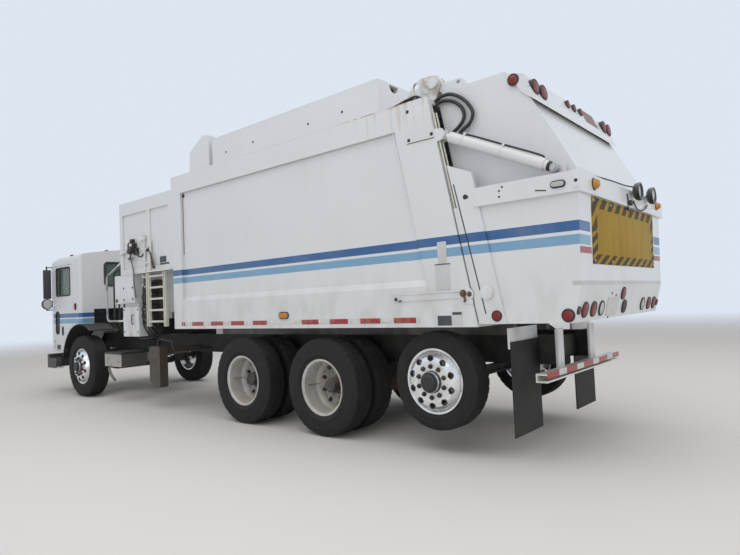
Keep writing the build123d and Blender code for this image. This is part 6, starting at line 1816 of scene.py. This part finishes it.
def pad(form, name):
    made = form.piece(name, "cab", "vinyl", 1, 60.0)
    remesh = made.modifiers.new("remesh", "REMESH")
    remesh.mode = "VOXEL"
    remesh.voxel_size = PAD_VOXEL
    apply_modifiers(made)
    before = [vert.co.copy() for vert in made.data.vertices]
    cloth = made.modifiers.new("cloth", "CLOTH")
    cloth.settings.use_pressure = True
    cloth.settings.uniform_pressure_force = 4.0
    cloth.settings.effector_weights.gravity = 0.0
    scene = bpy.context.scene
    for number in range(1, CLOTH_STEPS + 1):
        scene.frame_set(number)
    apply_modifiers(made)
    scene.frame_set(1)
    for vert, start in zip(made.data.vertices, before):
        move = vert.co - start
        if move.length > PAD_SWELL:
            vert.co = start + move.normalized() * PAD_SWELL
    made.data.shade_smooth()
    if not made.data.materials:
        made.data.materials.append(finish("vinyl"))
    return made


def apply_modifiers(made):
    """Turns a piece's modifiers into its mesh."""
    graph = bpy.context.evaluated_depsgraph_get()
    graph.update()
    shaped = bpy.data.meshes.new_from_object(made.evaluated_get(graph))
    made.modifiers.clear()
    made.data = shaped


CAMERA_PLACE = (-4.379 + REAR_AXLE_X, 5.532, 1.418)
# Degrees: round from straight ahead, up from level, and leaning.
CAMERA_ANGLES = (-50.17, 2.48, -2.507)
LAMPS = (
    # name, place, size, share of the key lamp's power
    ("overhead", (-2.0, 2.0, 11.0), 16.0, 1.0),
    ("left_fill", (-7.0, 12.0, 4.5), 10.0, 0.34),
    ("rear_fill", (-14.0, -3.0, 4.0), 8.0, 0.30),
)
LAMP_AIM = Vector((0, 0, 1.5))
FLOOR_RADIUS = 90.0
# The floor fades into the backdrop between these distances from the truck's middle.
FADE_MIDDLE_X = 2.2
FADE_START = 12.0
FADE_END = 34.0


class TRUCK_OT_stage(bpy.types.Operator):
    """Sets up the camera, the floor and the soft studio light."""

    bl_idname = "truck.stage"
    bl_label = "Camera, floor and light"

    def execute(self, context):
        look = settings().stage
        scene = context.scene
        scene.view_settings.view_transform = "Standard"
        camera = bpy.data.cameras.new("camera")
        camera.lens = look.lens
        camera.sensor_width = 36.0
        holder = bpy.data.objects.new("camera", camera)
        yaw, pitch, roll = (math.radians(angle) for angle in CAMERA_ANGLES)
        ahead = Vector((math.cos(yaw) * math.cos(pitch), math.sin(yaw) * math.cos(pitch), math.sin(pitch)))
        level = Vector((math.sin(yaw), -math.cos(yaw), 0))
        above = level.cross(ahead)
        right = level * math.cos(roll) + above * math.sin(roll)
        up = above * math.cos(roll) - level * math.sin(roll)
        turn = Matrix((right, up, -ahead)).transposed()
        holder.matrix_world = Matrix.Translation(CAMERA_PLACE) @ turn.to_4x4()
        scene.collection.objects.link(holder)
        scene.camera = holder
        ground = bmesh.new()
        bmesh.ops.create_circle(ground, cap_ends=True, radius=FLOOR_RADIUS, segments=96)
        data = bpy.data.meshes.new("floor")
        ground.to_mesh(data)
        ground.free()
        floor = bpy.data.objects.new("floor", data)
        scene.collection.objects.link(floor)
        data.materials.append(floor_finish(look))
        for name, place, size, share in LAMPS:
            lamp = bpy.data.lights.new(name, "AREA")
            lamp.shape = "DISK"
            lamp.size = size
            lamp.energy = look.key * share
            lit = bpy.data.objects.new(name, lamp)
            lit.location = place
            lit.rotation_mode = "QUATERNION"
            lit.rotation_quaternion = (Vector(place) - LAMP_AIM).to_track_quat("Z", "Y")
            scene.collection.objects.link(lit)
        world = bpy.data.worlds.new("studio")
        world.use_nodes = True
        studio = NodeTree(world.node_tree)
        seen = studio.node("ShaderNodeLightPath", output="Is Camera Ray")
        for ray in ("Is Glossy Ray", "Is Transmission Ray"):
            seen = seen.math("MAXIMUM", studio.node("ShaderNodeLightPath", output=ray))
        colours = {0: seen, 6: opaque((look.sky, look.sky, look.sky)), 7: opaque(look.backdrop)}
        shown = studio.node("ShaderNodeMix", {"data_type": "RGBA"}, colours, 2)
        studio.tree.links.new(shown.socket, studio.tree.nodes["Background"].inputs["Color"])
        scene.world = world
        return {"FINISHED"}


def floor_finish(look):
    """A pale matt floor that fades into the backdrop's colour far out."""
    f = Finish("floor_pale")
    grain = f.noise(1.5, 6.0)
    f.set(Base_Color=f.mix(grain * 0.12, look.floor, [part * 0.8 for part in look.floor]), Roughness=0.85)
    reach = (f.x - FADE_MIDDLE_X) * (f.x - FADE_MIDDLE_X) + f.y * f.y
    far = f.rise(reach**0.5, FADE_START, FADE_END)
    glow = f.node("ShaderNodeEmission", {}, {"Color": opaque(look.backdrop), "Strength": 1.0})
    blend = f.node("ShaderNodeMixShader", {}, {0: far, 1: Wire(f, f.shader.outputs[0]), 2: glow})
    f.tree.links.new(blend.socket, f.output.inputs["Surface"])
    return f.material


OPERATORS = (
    TRUCK_OT_finish_nodes,
    TRUCK_OT_tyres,
    TRUCK_OT_wheel_nuts,
    TRUCK_OT_rear_lamps,
    TRUCK_OT_rear_board,
    TRUCK_OT_tapes,
    TRUCK_OT_body_trim,
    TRUCK_OT_tail_lock,
    TRUCK_OT_tail_hoses,
    TRUCK_OT_cab_windows,
    TRUCK_OT_cab_lamps,
    TRUCK_OT_cab_mirrors,
    TRUCK_OT_cab_trim,
    TRUCK_OT_cabinets,
    TRUCK_OT_hopper_valves,
    TRUCK_OT_valve_bank,
    TRUCK_OT_ladder_posts,
    TRUCK_OT_hopper_ribs,
    TRUCK_OT_cylinder_fittings,
    TRUCK_OT_seats,
    TRUCK_OT_stage,
)


class TRUCK_PT_sidebar(bpy.types.Panel):
    """Lists the truck's settings and the operators that build it."""

    bl_idname = "TRUCK_PT_sidebar"
    bl_label = "Garbage Truck"
    bl_space_type = "VIEW_3D"
    bl_region_type = "UI"
    bl_category = "Garbage Truck"

    def draw(self, context):
        truck = settings()
        for group in (truck.paint, truck.tyres, truck.fittings, truck.stage):
            box = self.layout.box()
            for key in group.__annotations__:
                box.prop(group, key)
        for operator in OPERATORS:
            self.layout.operator(operator.bl_idname)


SETTINGS = (PaintSettings, TyreSettings, FittingSettings, StageSettings, TruckSettings)
CLASSES = SETTINGS + OPERATORS + (TRUCK_PT_sidebar,)


def register():
    """Makes the settings, operators and sidebar known to Blender."""
    for cls in CLASSES:
        bpy.utils.register_class(cls)
    bpy.types.Scene.garbage_truck = PointerProperty(type=TruckSettings)


def unregister():
    """Takes the settings, operators and sidebar out of Blender again."""
    del bpy.types.Scene.garbage_truck
    for cls in reversed(CLASSES):
        bpy.utils.unregister_class(cls)


def main():
    """Builds everything in order."""
    register()
    for operator in OPERATORS:
        group, name = operator.bl_idname.split(".")
        getattr(getattr(bpy.ops, group), name)()


if __name__ == "__main__":
    main()
